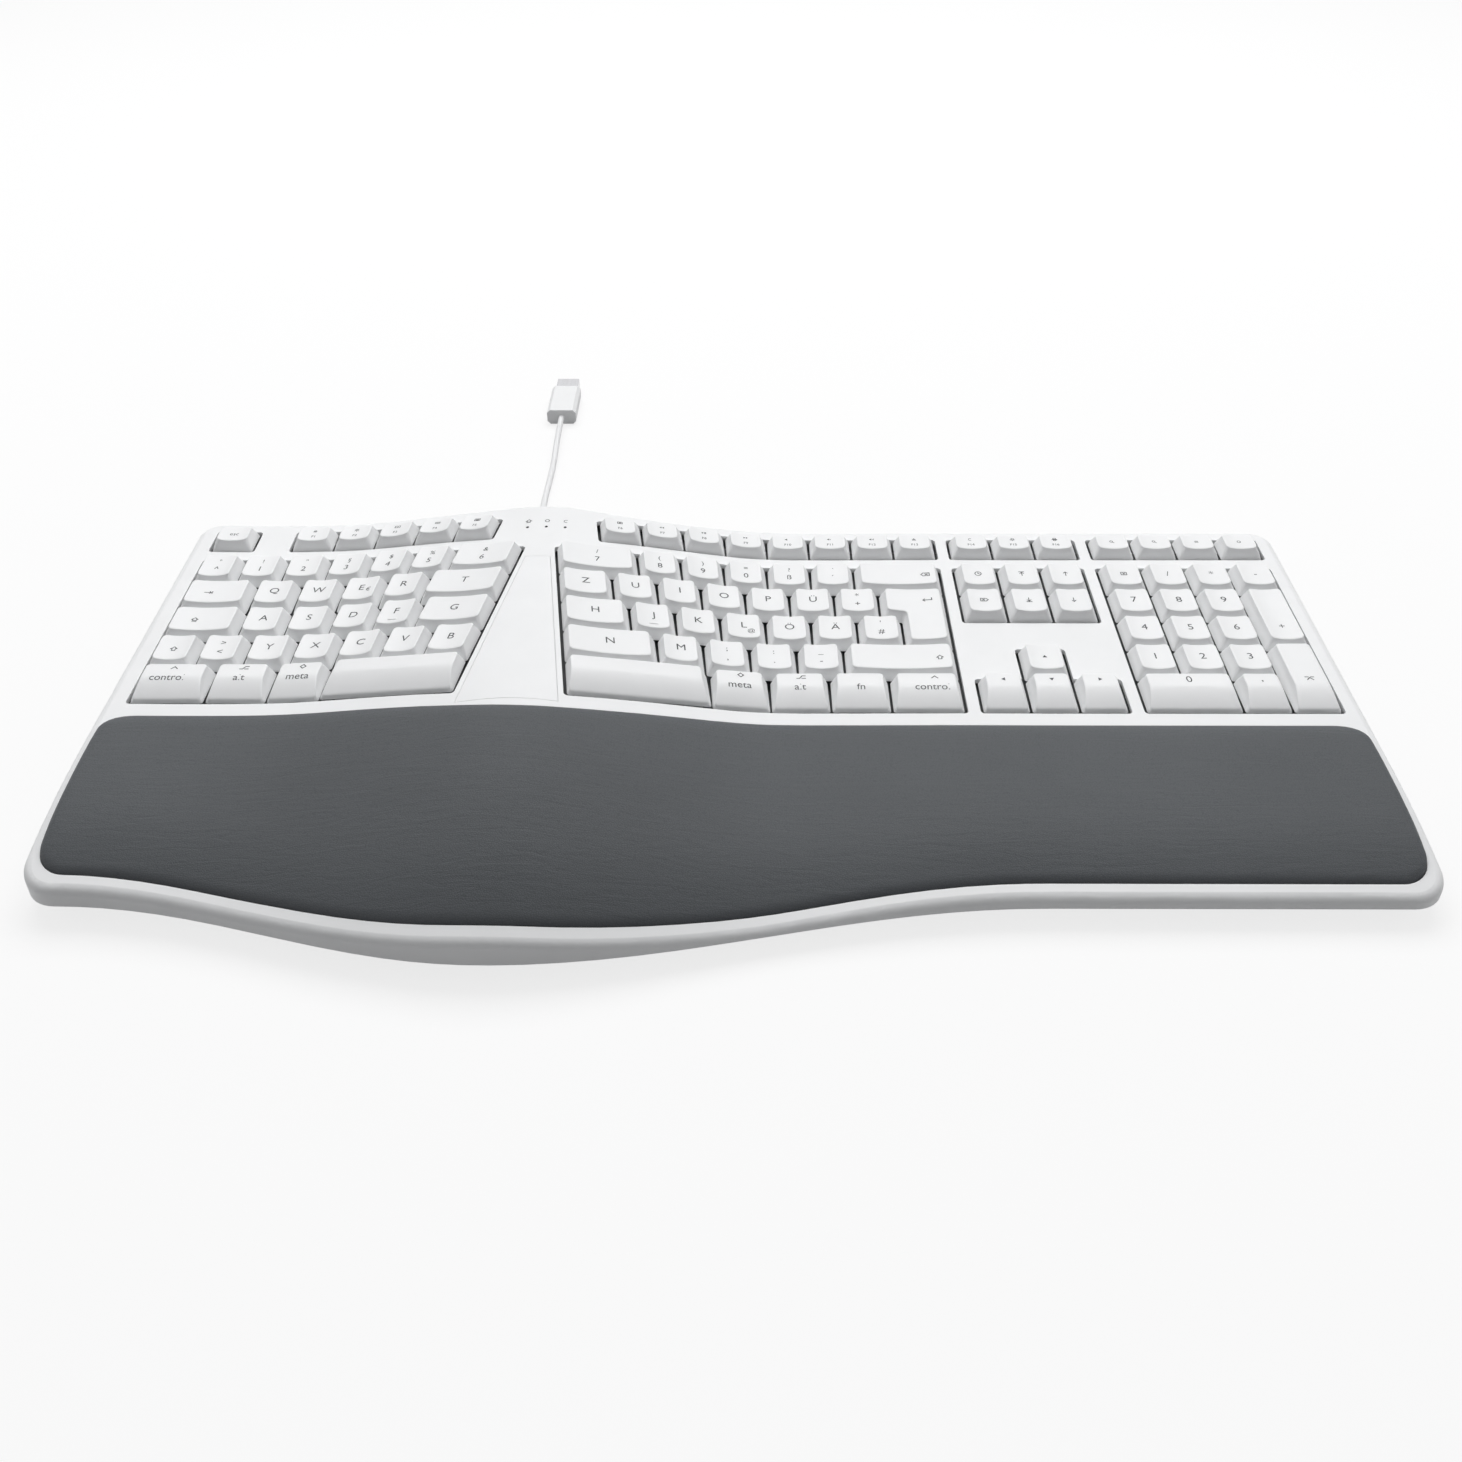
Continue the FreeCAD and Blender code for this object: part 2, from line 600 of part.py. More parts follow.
pad_hole = prism(pad_outline(S.pad_clearance, 0.0), 80)
panel_seat = polygon_face(panel_outline(0.0, 0.0)).extrude(V(0, 0, 80)).cut(
    below_deck(-S.panel_thickness - 0.05))
exit_hole = Part.makeCylinder(3.6, 14, V(S.cord_exit_x, back_line(S.cord_exit_x) - 9, S.cord_exit_z),
                              V(0, 1, 0))
led_points = [(S.hump_centre - 1.0 + i * S.led_pitch, S.led_row) for i in (-1, 0, 1)]
led_holes = [Part.makeCylinder(S.led_diameter / 2 + 0.1, 60, V(x, y, 0)) for x, y in led_points]
top_case = shell.cut(openings)
for tool in openings:
    # a cut among curved faces can be skipped without an error, so each opening is looked through
    centre = tool.CenterOfMass
    if top_case.isInside(V(centre.x, centre.y, deck(centre.x, centre.y) - 0.5 * S.deck_thickness), 1e-3, True):
        top_case = top_case.cut(tool)
        print("opening cut again at", round(centre.x, 1), round(centre.y, 1))
top_case = top_case.cut([pad_hole, panel_seat, exit_hole]).cut(bores + led_holes)
feature("top_case", one(top_case))

panel = polygon_face(panel_outline(0.15, 0.0)).extrude(V(0, 0, 80)).common(surface).cut(
    below_deck(-S.panel_thickness))
feature("centre_panel", one(panel))

# Key mechanism: guide frame, dome sheet, membrane and backplate follow the tent in flat facets
LAYER_X = sorted(set([-0.972 * half, 0.972 * half] + [-192 + 9.5 * i for i in range(24)]))


def layer(upper, lower, y0, y1):
    top = [(x, y0, S.deck_height + tent_rise(x) - upper) for x in LAYER_X]
    low = [(x, y0, S.deck_height + tent_rise(x) - lower) for x in reversed(LAYER_X)]
    return polygon_face(top + low).extrude(V(0, y1 - y0, 0))


layer_back = y_function + fd / 2 + S.stem_width / 2 + S.stem_clearance + S.chimney_wall + 1.0
layer_front = y_row[0] - 12.0


def layer_plan():
    pts = [(x, y_row[0] + bend(x) - 0.1, 0) for x in LAYER_X]
    pts += [(x, layer_back, 0) for x in reversed(LAYER_X)]
    # a recess at the back leaves room for the board under the lamps
    return polygon_face(pts).extrude(V(0, 0, 80))


led_room = Part.makeBox(37.0, 60.0, 80.0, V(S.hump_centre - 18.5 - 1.5, y_function + bend(S.hump_centre) - 2.0, 0))
plan = layer_plan().cut([led_room] + [Part.makeCylinder(rb + 0.4, 80, V(x, y, 0)) for x, y in case_points[5:]])
guide_low = S.guide_depth + S.guide_thickness
frame_slab = layer(S.guide_depth, guide_low, layer_front, layer_back).common(plan)
sleeve = S.stem_width / 2 + S.stem_clearance
sleeve_out = sleeve + S.chimney_wall


def upright(k, r, z0, z1):
    base = []
    for a, b in ((-r, -r), (r, -r), (r, r), (-r, r)):
        p = on_key(k, k.stem + a, b, 0)
        base.append((p.x, p.y, z0))
    return polygon_face(base).extrude(V(0, 0, z1 - z0))




def chimney(k):
    # an upright sleeve whose top edge leans with its key
    corners = [on_key(k, k.stem + a * sleeve_out, b * sleeve_out, 0)
               for a, b in ((-1, -1), (1, -1), (1, 1), (-1, 1))]
    return hull_between([V(p.x, p.y, k.z - guide_low + 0.2) for p in corners],
                        [p - V(0, 0, S.chimney_top) for p in corners])


chimneys = [chimney(k) for k in keys]
holes = [upright(k, sleeve, k.z - guide_low - 4, k.z + 3) for k in keys]
space_keys = [groups["key_space_left"][0], groups["key_space_right"][0]]
clips = []
windows = []
wire_r = S.wire_diameter / 2
for k in space_keys:
    reach = wire_reach(k)
    axis = on_key(k, 1, 0, 0) - on_key(k, 0, 0, 0)
    for side_a in (-1, 1):
        a = side_a * (reach - 5.0)
        clips.append(block(k, a, S.wire_back, 1.6, 1.4, -S.guide_depth - 0.6, -S.wire_depth + 1.5))
        windows.append(block(k, side_a * reach, wire_tip, S.lug_width / 2 + 1.2, 2.4, -guide_low - 1, -S.guide_depth + 0.7))
    windows.append(Part.makeCylinder(wire_r + 0.15, 2 * reach, on_key(k, -reach, S.wire_back, -S.wire_depth), axis))
drills = [Part.makeCylinder(hole + 0.2, 80, V(x, y, 0)) for x, y in frame_points]
frame = frame_slab.fuse(chimneys + clips).cut(holes + windows + drills)
feature("key_guide_frame", one(frame))

# The two stabiliser wires: a bar along the key and an arm at each end
for label, k in zip(("stabiliser_left", "stabiliser_right"), space_keys):
    reach = wire_reach(k)
    tip_h = tip_rest
    back_b = wire_tip
    bar_b = S.wire_back
    bar_h = -S.wire_depth
    bend_r = 2.0
    pts = [on_key(k, -reach, back_b, tip_h), on_key(k, -reach, bar_b, bar_h), on_key(k, reach, bar_b, bar_h),
           on_key(k, reach, back_b, tip_h)]
    edges = []
    start = pts[0]
    for i in (1, 2):
        d1 = (pts[i] - pts[i - 1]).normalize()
        d2 = (pts[i + 1] - pts[i]).normalize()
        turn = math.acos(max(-1.0, min(1.0, d1.dot(d2))))
        reach_in = bend_r * math.tan(turn / 2)
        p = pts[i] - d1 * reach_in
        q = pts[i] + d2 * reach_in
        out = (d2 - d1).normalize()
        centre = pts[i] + out * (bend_r / math.cos(turn / 2))
        m = centre - out * bend_r
        edges.append(Part.LineSegment(start, p).toShape())
        edges.append(Part.Arc(p, m, q).toShape())
        start = q
    edges.append(Part.LineSegment(start, pts[3]).toShape())
    ring = Part.Wire(Part.Circle(pts[0], (pts[1] - pts[0]), wire_r).toShape())
    feature(label, Part.Wire(edges).makePipeShell([ring], True, True))
    axis = (pts[2] - pts[1]).normalize()
    print(label, "axis", [round(t, 5) for t in axis], "through", [round(t / 1000, 6) for t in pts[1]],
          "ratio", round(1 / (S.wire_arm / 1000), 3))

dome_top = S.stem_length + S.dome_gap
dome_base = dome_top + S.dome_height
sheet_low = dome_base + S.dome_sheet_thickness
dome_slab = layer(dome_base, sheet_low, layer_front, layer_back).common(plan)
domes = []
hollows = []
for k in keys:
    foot = k.z - dome_base - 0.3 - abs(k.slope) * 4.4
    tall = k.z - dome_top - abs(k.slope) * 2.7 - foot
    p = on_key(k, k.stem, 0, 0)
    domes.append(Part.makeCone(4.4, 2.5, tall, V(p.x, p.y, foot)))
    hollows.append(Part.makeCone(3.6, 1.7, tall - 1.2, V(p.x, p.y, foot)))
under_sheet = layer(sheet_low, sheet_low + 4.0, layer_front, layer_back)
dome_sheet = dome_slab.fuse(domes).cut(hollows + drills + [under_sheet])
feature("dome_sheet", one(dome_sheet))
mem_low = sheet_low + S.membrane_thickness
plate_low = mem_low + S.backplate_thickness
feature("backplate", one(layer(mem_low, plate_low, layer_front, layer_back).common(plan).cut(drills)))


# Controller board under the lamps, with the membrane's tail clamped on its front edge
tail_z = S.deck_height + tent_rise(board_x) - mem_low
tail_t = S.membrane_thickness
edge_y = y_function + bend(S.hump_centre) - 2.0
tail_pts = [(edge_y - 1.5, tail_z), (edge_y + 1.0, tail_z), (edge_y + 1.0, board_top),
            (board_y0 + 4.5, board_top), (board_y0 + 4.5, board_top + tail_t),
            (edge_y + 1.0 - tail_t, board_top + tail_t), (edge_y + 1.0 - tail_t, tail_z + tail_t),
            (edge_y - 1.5, tail_z + tail_t)]
tail = polygon_face([(board_x - S.tail_width / 2, y, z) for y, z in tail_pts]).extrude(V(S.tail_width, 0, 0))
membrane = layer(sheet_low, mem_low, layer_front, layer_back).common(plan).cut(drills).fuse(tail)
feature("membrane", one(membrane))


# Ordinary blocks, cylinders and bodies bound to the sheet
def bind(obj, **bindings):
    for prop, expression in bindings.items():
        obj.setExpression(prop, expression)
    return obj


def solid_box(name, length, width, height, x, y, z):
    box = doc.addObject("Part::Box", name)
    bind(box, Length=length, Width=width, Height=height)
    box.Placement.Base = V(x, y, z)
    return box


def solid_cylinder(name, radius, height, x, y, z, direction=V(0, 0, 1)):
    cyl = doc.addObject("Part::Cylinder", name)
    bind(cyl, Radius=radius, Height=height)
    cyl.Placement = FreeCAD.Placement(V(x, y, z), FreeCAD.Rotation(V(0, 0, 1), direction))
    return cyl


def gather(label, members):
    group = doc.addObject("Part::Compound", label)
    group.Links = members
    group.Label = label
    nodes[label] = group
    return group


board = solid_box("board_blank", "Sizes.board_width", "Sizes.board_length", "Sizes.board_thickness",
                  board_x - S.board_width / 2, board_y0, board_top - S.board_thickness)
chip = solid_box("board_chip", "Sizes.board_width / 3.4", "Sizes.board_length / 2.1", "Sizes.board_thickness",
                 board_x - S.board_width / 6.8, board_y0 + 5.5, board_top - 2 * S.board_thickness)
clamp_y = board_y0 + S.clamp_depth / 2 + 0.8
clamp_points = [(board_x + i * (S.clamp_length / 2 - 1.9), clamp_y) for i in (-1, 1)]
board_drills = [solid_cylinder("board_hole_%d" % i, "Sizes.screw_diameter / 2", "3 * Sizes.board_thickness", x, y,
                               board_top - 2 * S.board_thickness)
                for i, (x, y) in enumerate(board_points + clamp_points)]
board_body = doc.addObject("Part::MultiFuse", "board_body")
board_body.Shapes = [board, chip]
drill_set = doc.addObject("Part::MultiFuse", "board_drills")
drill_set.Shapes = board_drills
board_cut = doc.addObject("Part::Cut", "controller_board")
board_cut.Base = board_body
board_cut.Tool = drill_set
board_cut.Label = "controller_board"
nodes["controller_board"] = board_cut

clamp_blank = solid_box("clamp_blank", "Sizes.clamp_length", "Sizes.clamp_depth", "Sizes.clamp_height",
                        board_x - S.clamp_length / 2, clamp_y - S.clamp_depth / 2, board_top + tail_t)
clamp_drills = doc.addObject("Part::MultiFuse", "clamp_drills")
clamp_drills.Shapes = [solid_cylinder("clamp_hole_%d" % i, "Sizes.screw_diameter / 2", "3 * Sizes.clamp_height",
                                      x, y, board_top - 0.5) for i, (x, y) in enumerate(clamp_points)]
clamp = doc.addObject("Part::Cut", "tail_clamp")
clamp.Base = clamp_blank
clamp.Tool = clamp_drills
clamp.Label = "tail_clamp"
nodes["tail_clamp"] = clamp

gather("indicator_leds", [solid_box("lamp_%d" % i, "Sizes.led_size", "Sizes.led_size", "Sizes.led_height",
                                    x - S.led_size / 2, y - S.led_size / 2, board_top)
                          for i, (x, y) in enumerate(led_points)])
pipes = []
for x, y in led_points:
    z0 = board_top + S.led_height + 0.2
    flange_z = deck(x, y) - S.deck_thickness - 1.4
    rod = Part.makeCylinder(S.led_diameter / 2, 60, V(x, y, z0)).common(surface)
    pipes.append(rod.fuse(Part.makeCylinder(S.led_diameter, 0.8, V(x, y, flange_z))))
feature("led_windows", Part.Compound(pipes))


# Screws: one shape for each kind, standing head down or head up
def screw(x, y, z, length, up=True):
    # z is the seat of the head; the shank goes away from it
    d = 1 if up else -1
    axis = V(0, 0, d)
    shank = Part.makeCylinder(hole - 0.05, length, V(x, y, z), axis)
    head = Part.makeCylinder(S.screw_head / 2, S.screw_head_height, V(x, y, z), -axis)
    slot = Part.makeBox(0.9, 0.9, 1.4, V(x - 0.45, y - 0.45, z - S.screw_head_height if up
                                         else z + S.screw_head_height - 0.7))
    slot2 = Part.makeBox(2.6, 0.7, 0.7, V(x - 1.3, y - 0.35, z - S.screw_head_height if up
                                          else z + S.screw_head_height - 0.7))
    slot3 = Part.makeBox(0.7, 2.6, 0.7, V(x - 0.35, y - 1.3, z - S.screw_head_height if up
                                          else z + S.screw_head_height - 0.7))
    return head.fuse(shank).cut([slot2, slot3])


head_seat = S.foot_height + S.base_floor + 0.4
feature("case_screws", Part.Compound([screw(x, y, head_seat, S.case_screw_length) for x, y in case_points]))
frame_seats = []
for x, y in frame_points:
    frame_seats.append((x, y, flat_deck(x, y) - plate_low - abs(slope(x, y)) * S.screw_head / 2 - 0.25))
feature("frame_screws", Part.Compound([screw(x, y, z, S.frame_screw_length) for x, y, z in frame_seats]))
small = [screw(x, y, board_top - S.board_thickness, S.board_screw_length) for x, y in board_points]
small += [screw(x, y, board_top + tail_t + S.clamp_height, S.board_screw_length, False) for x, y in clamp_points]
feature("board_screws", Part.Compound(small))

# Palm rest: hard tray under the opening, foam, and a thin cover drawn over it
pad_front_y = -S.case_depth / 2 + S.pad_rim_front


def crowned(offset):
    # the deck surface raised by the crown of the cushion
    floor = -20.0
    far = half * 1.06
    sections = []
    count = 13
    for i in range(count):
        y = -0.54 * S.case_depth + i * (0.54 * S.case_depth + 8.0) / (count - 1)
        pts = []
        for f in DECK_X:
            x = f * half
            ya = front_line(x) + S.pad_rim_front
            yb = S.pad_back + bend(x)
            t = (2 * y - ya - yb) / (yb - ya)
            t = min(abs(t), 1.05)
            pts.append((x, y, deck(x, y) + offset + 1.0 + (S.pad_crown - 1.0) * (1 - t ** 4)))
        top = spline(pts)
        a = top.Vertexes[0].Point
        b = top.Vertexes[-1].Point
        p = V(-far, y, floor)
        q = V(far, y, floor)
        sections.append(Part.Wire([top, Part.LineSegment(b, q).toShape(), Part.LineSegment(q, p).toShape(),
                                   Part.LineSegment(p, a).toShape()]))
    return Part.makeLoft(sections, True, False)


tray_top = below_deck(-S.tray_drop)
cushion = prism(pad_outline(0.0, 0.0), 80).common(crowned(0.0))
pad_faces = sorted([f for f in cushion.Faces if f.Area > 0.2 * S.case_width * S.case_depth],
                   key=lambda f: -f.CenterOfMass.z)
cushion = cushion.makeChamfer(S.pad_edge, pad_faces[0].OuterWire.Edges)
cushion = cushion.cut(tray_top)
cover = cushion.cut(prism(pad_outline(-S.pad_skin, 0.0), 80).common(crowned(-S.pad_skin)))
feature("palm_rest_cover", one(cover))
foam = prism(pad_outline(-S.pad_skin - S.foam_gap, 0.0), 80).common(crowned(-S.pad_skin - S.foam_gap)).cut(tray_top)
feature("palm_rest_foam", one(foam))
tray = prism(pad_outline(S.tray_flange, 0.0), 80).common(below_deck(-S.tray_drop - S.tray_gap))
tray = tray.cut(below_deck(-S.tray_drop - S.tray_gap - S.tray_thickness))
post_room = [Part.makeCylinder(rb + 0.3, 80, V(x, y, 0)) for x, y in case_points[:5]]
feature("palm_rest_tray", one(tray.cut(post_room)))

# Bottom case: a shallow tub with a chamfered foot, bosses, tray pillars and the two leg pockets
tub = Part.makeLoft([case_outline(0.0, S.split_height), case_outline(S.base_chamfer_in, S.foot_height)], True, True)
hollow = Part.makeLoft([case_outline(S.case_wall, S.split_height + 0.01),
                        case_outline(S.base_chamfer_in + 1.2, floor_top)], True, True)
leg_x = [-half + S.leg_inset, half - S.leg_inset]
leg_z = S.foot_height + 0.1 + S.leg_thickness / 2
adds = []
cuts = []
for x, y in case_points:
    adds.append(Part.makeCylinder(rb, floor_top + 2.2 - S.foot_height - 0.5, V(x, y, S.foot_height + 0.5)))
    adds.append(Part.makeCylinder(S.screw_head / 2 + 1.5, head_seat + 0.9 - S.foot_height, V(x, y, S.foot_height + 0.5)))
    cuts.append(Part.makeCylinder(S.screw_head / 2 + 0.3, head_seat - S.foot_height, V(x, y, S.foot_height)))
    cuts.append(Part.makeCylinder(hole + 0.15, 12, V(x, y, S.foot_height)))
pillar_points = [(-0.8 * half, -0.3 * S.case_depth), (-0.8 * half, -0.17 * S.case_depth),
                 (S.hump_centre, -0.42 * S.case_depth), (S.hump_centre, -0.2 * S.case_depth),
                 (0.1 * half, -0.3 * S.case_depth), (0.5 * half, -0.28 * S.case_depth),
                 (0.86 * half, -0.3 * S.case_depth), (0.86 * half, -0.17 * S.case_depth)]
pillar_top = below_deck(-S.tray_drop - S.tray_gap - S.tray_thickness - 0.1)
pillars = Part.Compound([Part.makeCylinder(3.0, 60, V(x, y, S.foot_height + 0.5)) for x, y in pillar_points])
adds += pillars.common(pillar_top).Solids
stack_points = [(-0.85 * half, 0.1 * S.case_depth), (-0.5 * half, 0.1 * S.case_depth),
                (S.hump_centre, 0.12 * S.case_depth), (0.1 * half, 0.1 * S.case_depth),
                (0.52 * half, 0.1 * S.case_depth), (0.9 * half, 0.1 * S.case_depth)]
for x, y in stack_points:
    z1 = flat_deck(x, y) - plate_low - 3.0 * abs(slope(x, y)) - 0.2
    adds.append(Part.makeCylinder(3.0, z1 - S.foot_height - 0.5, V(x, y, S.foot_height + 0.5)))
pin_r = S.leg_pin / 2
for x in leg_x:
    w = S.leg_width / 2 + S.leg_gap
    y0 = S.leg_hinge_y - S.leg_length - S.leg_gap
    y1 = S.leg_hinge_y + S.leg_thickness / 2 + S.leg_gap
    z1 = leg_z + S.leg_thickness / 2 + S.leg_gap
    adds.append(Part.makeBox(2 * (w + 3.0), y1 - y0 + 2.4, z1 + S.leg_roof - S.foot_height - 0.5,
                             V(x - w - 3.0, y0 - 1.2, S.foot_height + 0.5)))
    cuts.append(Part.makeBox(2 * w, y1 - y0, z1 + 5.0, V(x - w, y0, -5.0)))
    cuts.append(Part.makeCylinder(pin_r + 0.1, 2 * (w + S.leg_pin_length), V(x - w - S.leg_pin_length, S.leg_hinge_y,
                                                                            leg_z), V(1, 0, 0)))
base = tub.cut(hollow).fuse(adds).cut(cuts)
feature("bottom_case", one(base))

# Tilt legs: a plate with a round hinge end and a pin at each side
for label, x in zip(("tilt_leg_left", "tilt_leg_right"), leg_x):
    r = S.leg_thickness / 2
    plate = Part.makeBox(S.leg_width, S.leg_length, S.leg_thickness,
                         V(x - S.leg_width / 2, S.leg_hinge_y - S.leg_length, leg_z - r))
    knuckle = Part.makeCylinder(r, S.leg_width, V(x - S.leg_width / 2, S.leg_hinge_y, leg_z), V(1, 0, 0))
    grip_cut = Part.makeBox(S.leg_width / 2, 2.5, 0.9, V(x - S.leg_width / 4, S.leg_hinge_y - S.leg_length - 0.01,
                                                         leg_z - r - 0.01))
    pin = Part.makeCylinder(pin_r, S.leg_width + 2 * (S.leg_pin_length + S.leg_gap - 0.2),
                            V(x - S.leg_width / 2 - S.leg_pin_length - S.leg_gap + 0.2, S.leg_hinge_y, leg_z), V(1, 0, 0))
    feature(label, one(plate.fuse([knuckle, pin]).cut(grip_cut)))
    print(label, "pin at", [round(t / 1000, 6) for t in (x, S.leg_hinge_y, leg_z)])

foot_points = [(-half + 24, -0.31 * S.case_depth), (half - 24, -0.31 * S.case_depth), (S.hump_centre, -0.43 * S.case_depth),
               (-half + 24, 0.42 * S.case_depth), (half - 24, 0.42 * S.case_depth), (0.0, 0.42 * S.case_depth)]
gather("rubber_feet", [solid_box("foot_%d" % i, "Sizes.foot_length", "Sizes.foot_width", "Sizes.foot_height",
                                 x - S.foot_length / 2, y - S.foot_width / 2, 0.0)
                       for i, (x, y) in enumerate(foot_points)])


# Bodies drawn as sketches
def plane_of(body, role):
    return [f for f in body.Origin.OriginFeatures if f.Role == role][0]


def rectangle(body, name, role, width, height, shift=(0.0, 0.0), offset=0.0):
    sk = body.newObject("Sketcher::SketchObject", name)
    sk.AttachmentSupport = [(plane_of(body, role), "")]
    sk.MapMode = "FlatFace"
    sk.AttachmentOffset = FreeCAD.Placement(V(0, 0, offset), FreeCAD.Rotation())
    x, y = shift
    pts = [V(x - 1, y - 1, 0), V(x + 1, y - 1, 0), V(x + 1, y + 1, 0), V(x - 1, y + 1, 0)]
    for i in range(4):
        sk.addGeometry(Part.LineSegment(pts[i], pts[(i + 1) % 4]))
    import Sketcher
    for i in range(4):
        sk.addConstraint(Sketcher.Constraint("Coincident", i, 2, (i + 1) % 4, 1))
    for i in (0, 2):
        sk.addConstraint(Sketcher.Constraint("Horizontal", i))
        sk.addConstraint(Sketcher.Constraint("Vertical", i + 1))
    sk.addConstraint(Sketcher.Constraint("Symmetric", 0, 1, 2, 1, -1, 1))
    w = sk.addConstraint(Sketcher.Constraint("DistanceX", 0, 1, 0, 2, 2.0))
    v = sk.addConstraint(Sketcher.Constraint("DistanceY", 1, 1, 1, 2, 2.0))
    sk.setExpression("Constraints[%d]" % w, width)
    sk.setExpression("Constraints[%d]" % v, height)
    return sk


def pad(body, name, sketch, length):
    f = body.newObject("PartDesign::Pad", name)
    f.Profile = sketch
    f.setExpression("Length", length)
    return f


# Cord: strain relief, one loop down to the put-away hank, the hank, and the stretch that ends in the plug
cord_r = S.cord_diameter / 2
exit_y = back_line(S.cord_exit_x)
relief_end = exit_y + S.relief_length
flange_y = exit_y - S.case_wall - 3.0
relief = Part.makeCylinder(5.0, 2.4, V(S.cord_exit_x, flange_y, S.cord_exit_z), V(0, 1, 0))
relief = relief.fuse(Part.makeCylinder(3.4, exit_y + 1.5 - flange_y, V(S.cord_exit_x, flange_y, S.cord_exit_z),
                                       V(0, 1, 0)))
relief = relief.fuse(Part.makeCone(3.4, 2.2, S.relief_length - 1.5, V(S.cord_exit_x, exit_y + 1.5, S.cord_exit_z),
                                   V(0, 1, 0)))
feature("cord_strain_relief", one(relief.removeSplitter()))

track = S.cord_diameter + S.hank_gap
a1 = S.hank_fold + track / 4
b1 = S.hank_fold - track / 4
a0 = a1 + track
b0 = b1 + track
xm = S.hank_x - S.hank_run / 2
xp = S.hank_x + S.hank_run / 2
hank_low = S.tie_thickness + S.tie_gap + cord_r
level = [hank_low + i * track for i in range(4)]


def hank_path():
    # far tracks are y + a, near tracks are y - b; the cord runs to +X on the far side and back on the near one
    edges = []
    pos = [V(S.hank_start_x, S.hank_y + a0, level[0])]

    def run(x, climb=0.0):
        p = pos[0]
        q = V(x, p.y, p.z + climb)
        if climb:
            m = (p + q) * 0.5
            span = (q.x - p.x) / 2
            rise = climb / 2
            r = (span * span + rise * rise) / (2 * rise)
            ang = math.asin(abs(span) / abs(r)) / 2
            d = math.copysign(1, span)
            p1 = V(p.x + d * abs(r) * math.sin(ang), p.y, p.z + math.copysign(abs(r) * (1 - math.cos(ang)), climb))
            q1 = V(q.x - d * abs(r) * math.sin(ang), q.y, q.z - math.copysign(abs(r) * (1 - math.cos(ang)), climb))
            edges.append(Part.Arc(p, p1, m).toShape())
            edges.append(Part.Arc(m, q1, q).toShape())
        else:
            edges.append(Part.LineSegment(p, q).toShape())
        pos[0] = q

    def fold(offset):
        p = pos[0]
        q = V(p.x, S.hank_y + offset, p.z)
        r = abs(q.y - p.y) / 2
        out = 1 if p.x > S.hank_x else -1
        edges.append(Part.Arc(p, V(p.x + out * r, (p.y + q.y) / 2, p.z), q).toShape())
        pos[0] = q

    run(xp)
    for inward in (True, False, True, False):
        if inward:
            fold(-b0)
            run(xm)
            fold(a1)
            run(xp)
            fold(-b1)
            run(xm, track)
        else:
            fold(a1)
            run(xp)
            fold(-b0)
            if pos[0].z > level[3] - 0.1:
                run(S.hank_end_x)
                break
            run(xm)
            fold(a0)
            run(xp, track)
    return edges


def tube(path_edges, radius):
    wire = Part.Wire(path_edges)
    first = path_edges[0]
    start = first.valueAt(first.FirstParameter)
    direction = first.tangentAt(first.FirstParameter)
    ring = Part.Wire(Part.Circle(start, direction, radius).toShape())
    return wire, wire.makePipeShell([ring], True, False)


hank_edges = hank_path()
hank_wire, hank = tube(hank_edges, cord_r)
feature("cord_hank", one(hank))

# Stretch from the strain relief round and down into the hank's top layer
loop_x = S.cord_exit_x
top_y = S.hank_y - b0
route_in = [(loop_x, relief_end, S.cord_exit_z), (loop_x, 128.2, S.cord_exit_z), (loop_x - 4.2, 132.3, 18.9),
            (loop_x - 10.2, 132.3, 18.0), (loop_x - 14.4, 128.1, 17.2), (loop_x - 14.4, 122.2, 16.4),
            (loop_x - 10.2, top_y + 0.2, 15.5), (loop_x - 4.2, top_y, level[3]),
            (S.hank_end_x, top_y, level[3])]
# Stretch from the hank's bottom layer out to the plug
far_y = S.hank_y + a0
plug_x = -95.0
plug_y = 250.0
plug_z = S.grip_height / 2
route_out = [(S.hank_start_x, far_y, level[0]), (-85.4, far_y, level[0]), (-94.5, far_y + 10.0, cord_r),
             (-95.3, far_y + 36.0, cord_r), (-94.3, far_y + 64.0, cord_r), (-94.9, far_y + 90.0, plug_z - 0.1),
             (plug_x, plug_y, plug_z)]


def route_path(points, label):
    pts = [V(*p) for p in points]
    edges = []
    start = pts[0]
    radii = []
    for i in range(1, len(pts) - 1):
        d1 = pts[i] - pts[i - 1]
        d2 = pts[i + 1] - pts[i]
        shorter = min(d1.Length, d2.Length)
        d1.normalize()
        d2.normalize()
        turn = math.acos(max(-1.0, min(1.0, d1.dot(d2))))
        if turn < 1e-4:
            continue
        back = 0.45 * shorter
        r = back / math.tan(turn / 2)
        radii.append(r)
        p = pts[i] - d1 * back
        q = pts[i] + d2 * back
        out = (d2 - d1).normalize()
        centre = pts[i] + out * (r / math.cos(turn / 2))
        edges.append(Part.LineSegment(start, p).toShape())
        edges.append(Part.Arc(p, centre - out * r, q).toShape())
        start = q
    edges.append(Part.LineSegment(start, pts[-1]).toShape())
    print(label, "radii", [round(r, 1) for r in radii])
    return edges


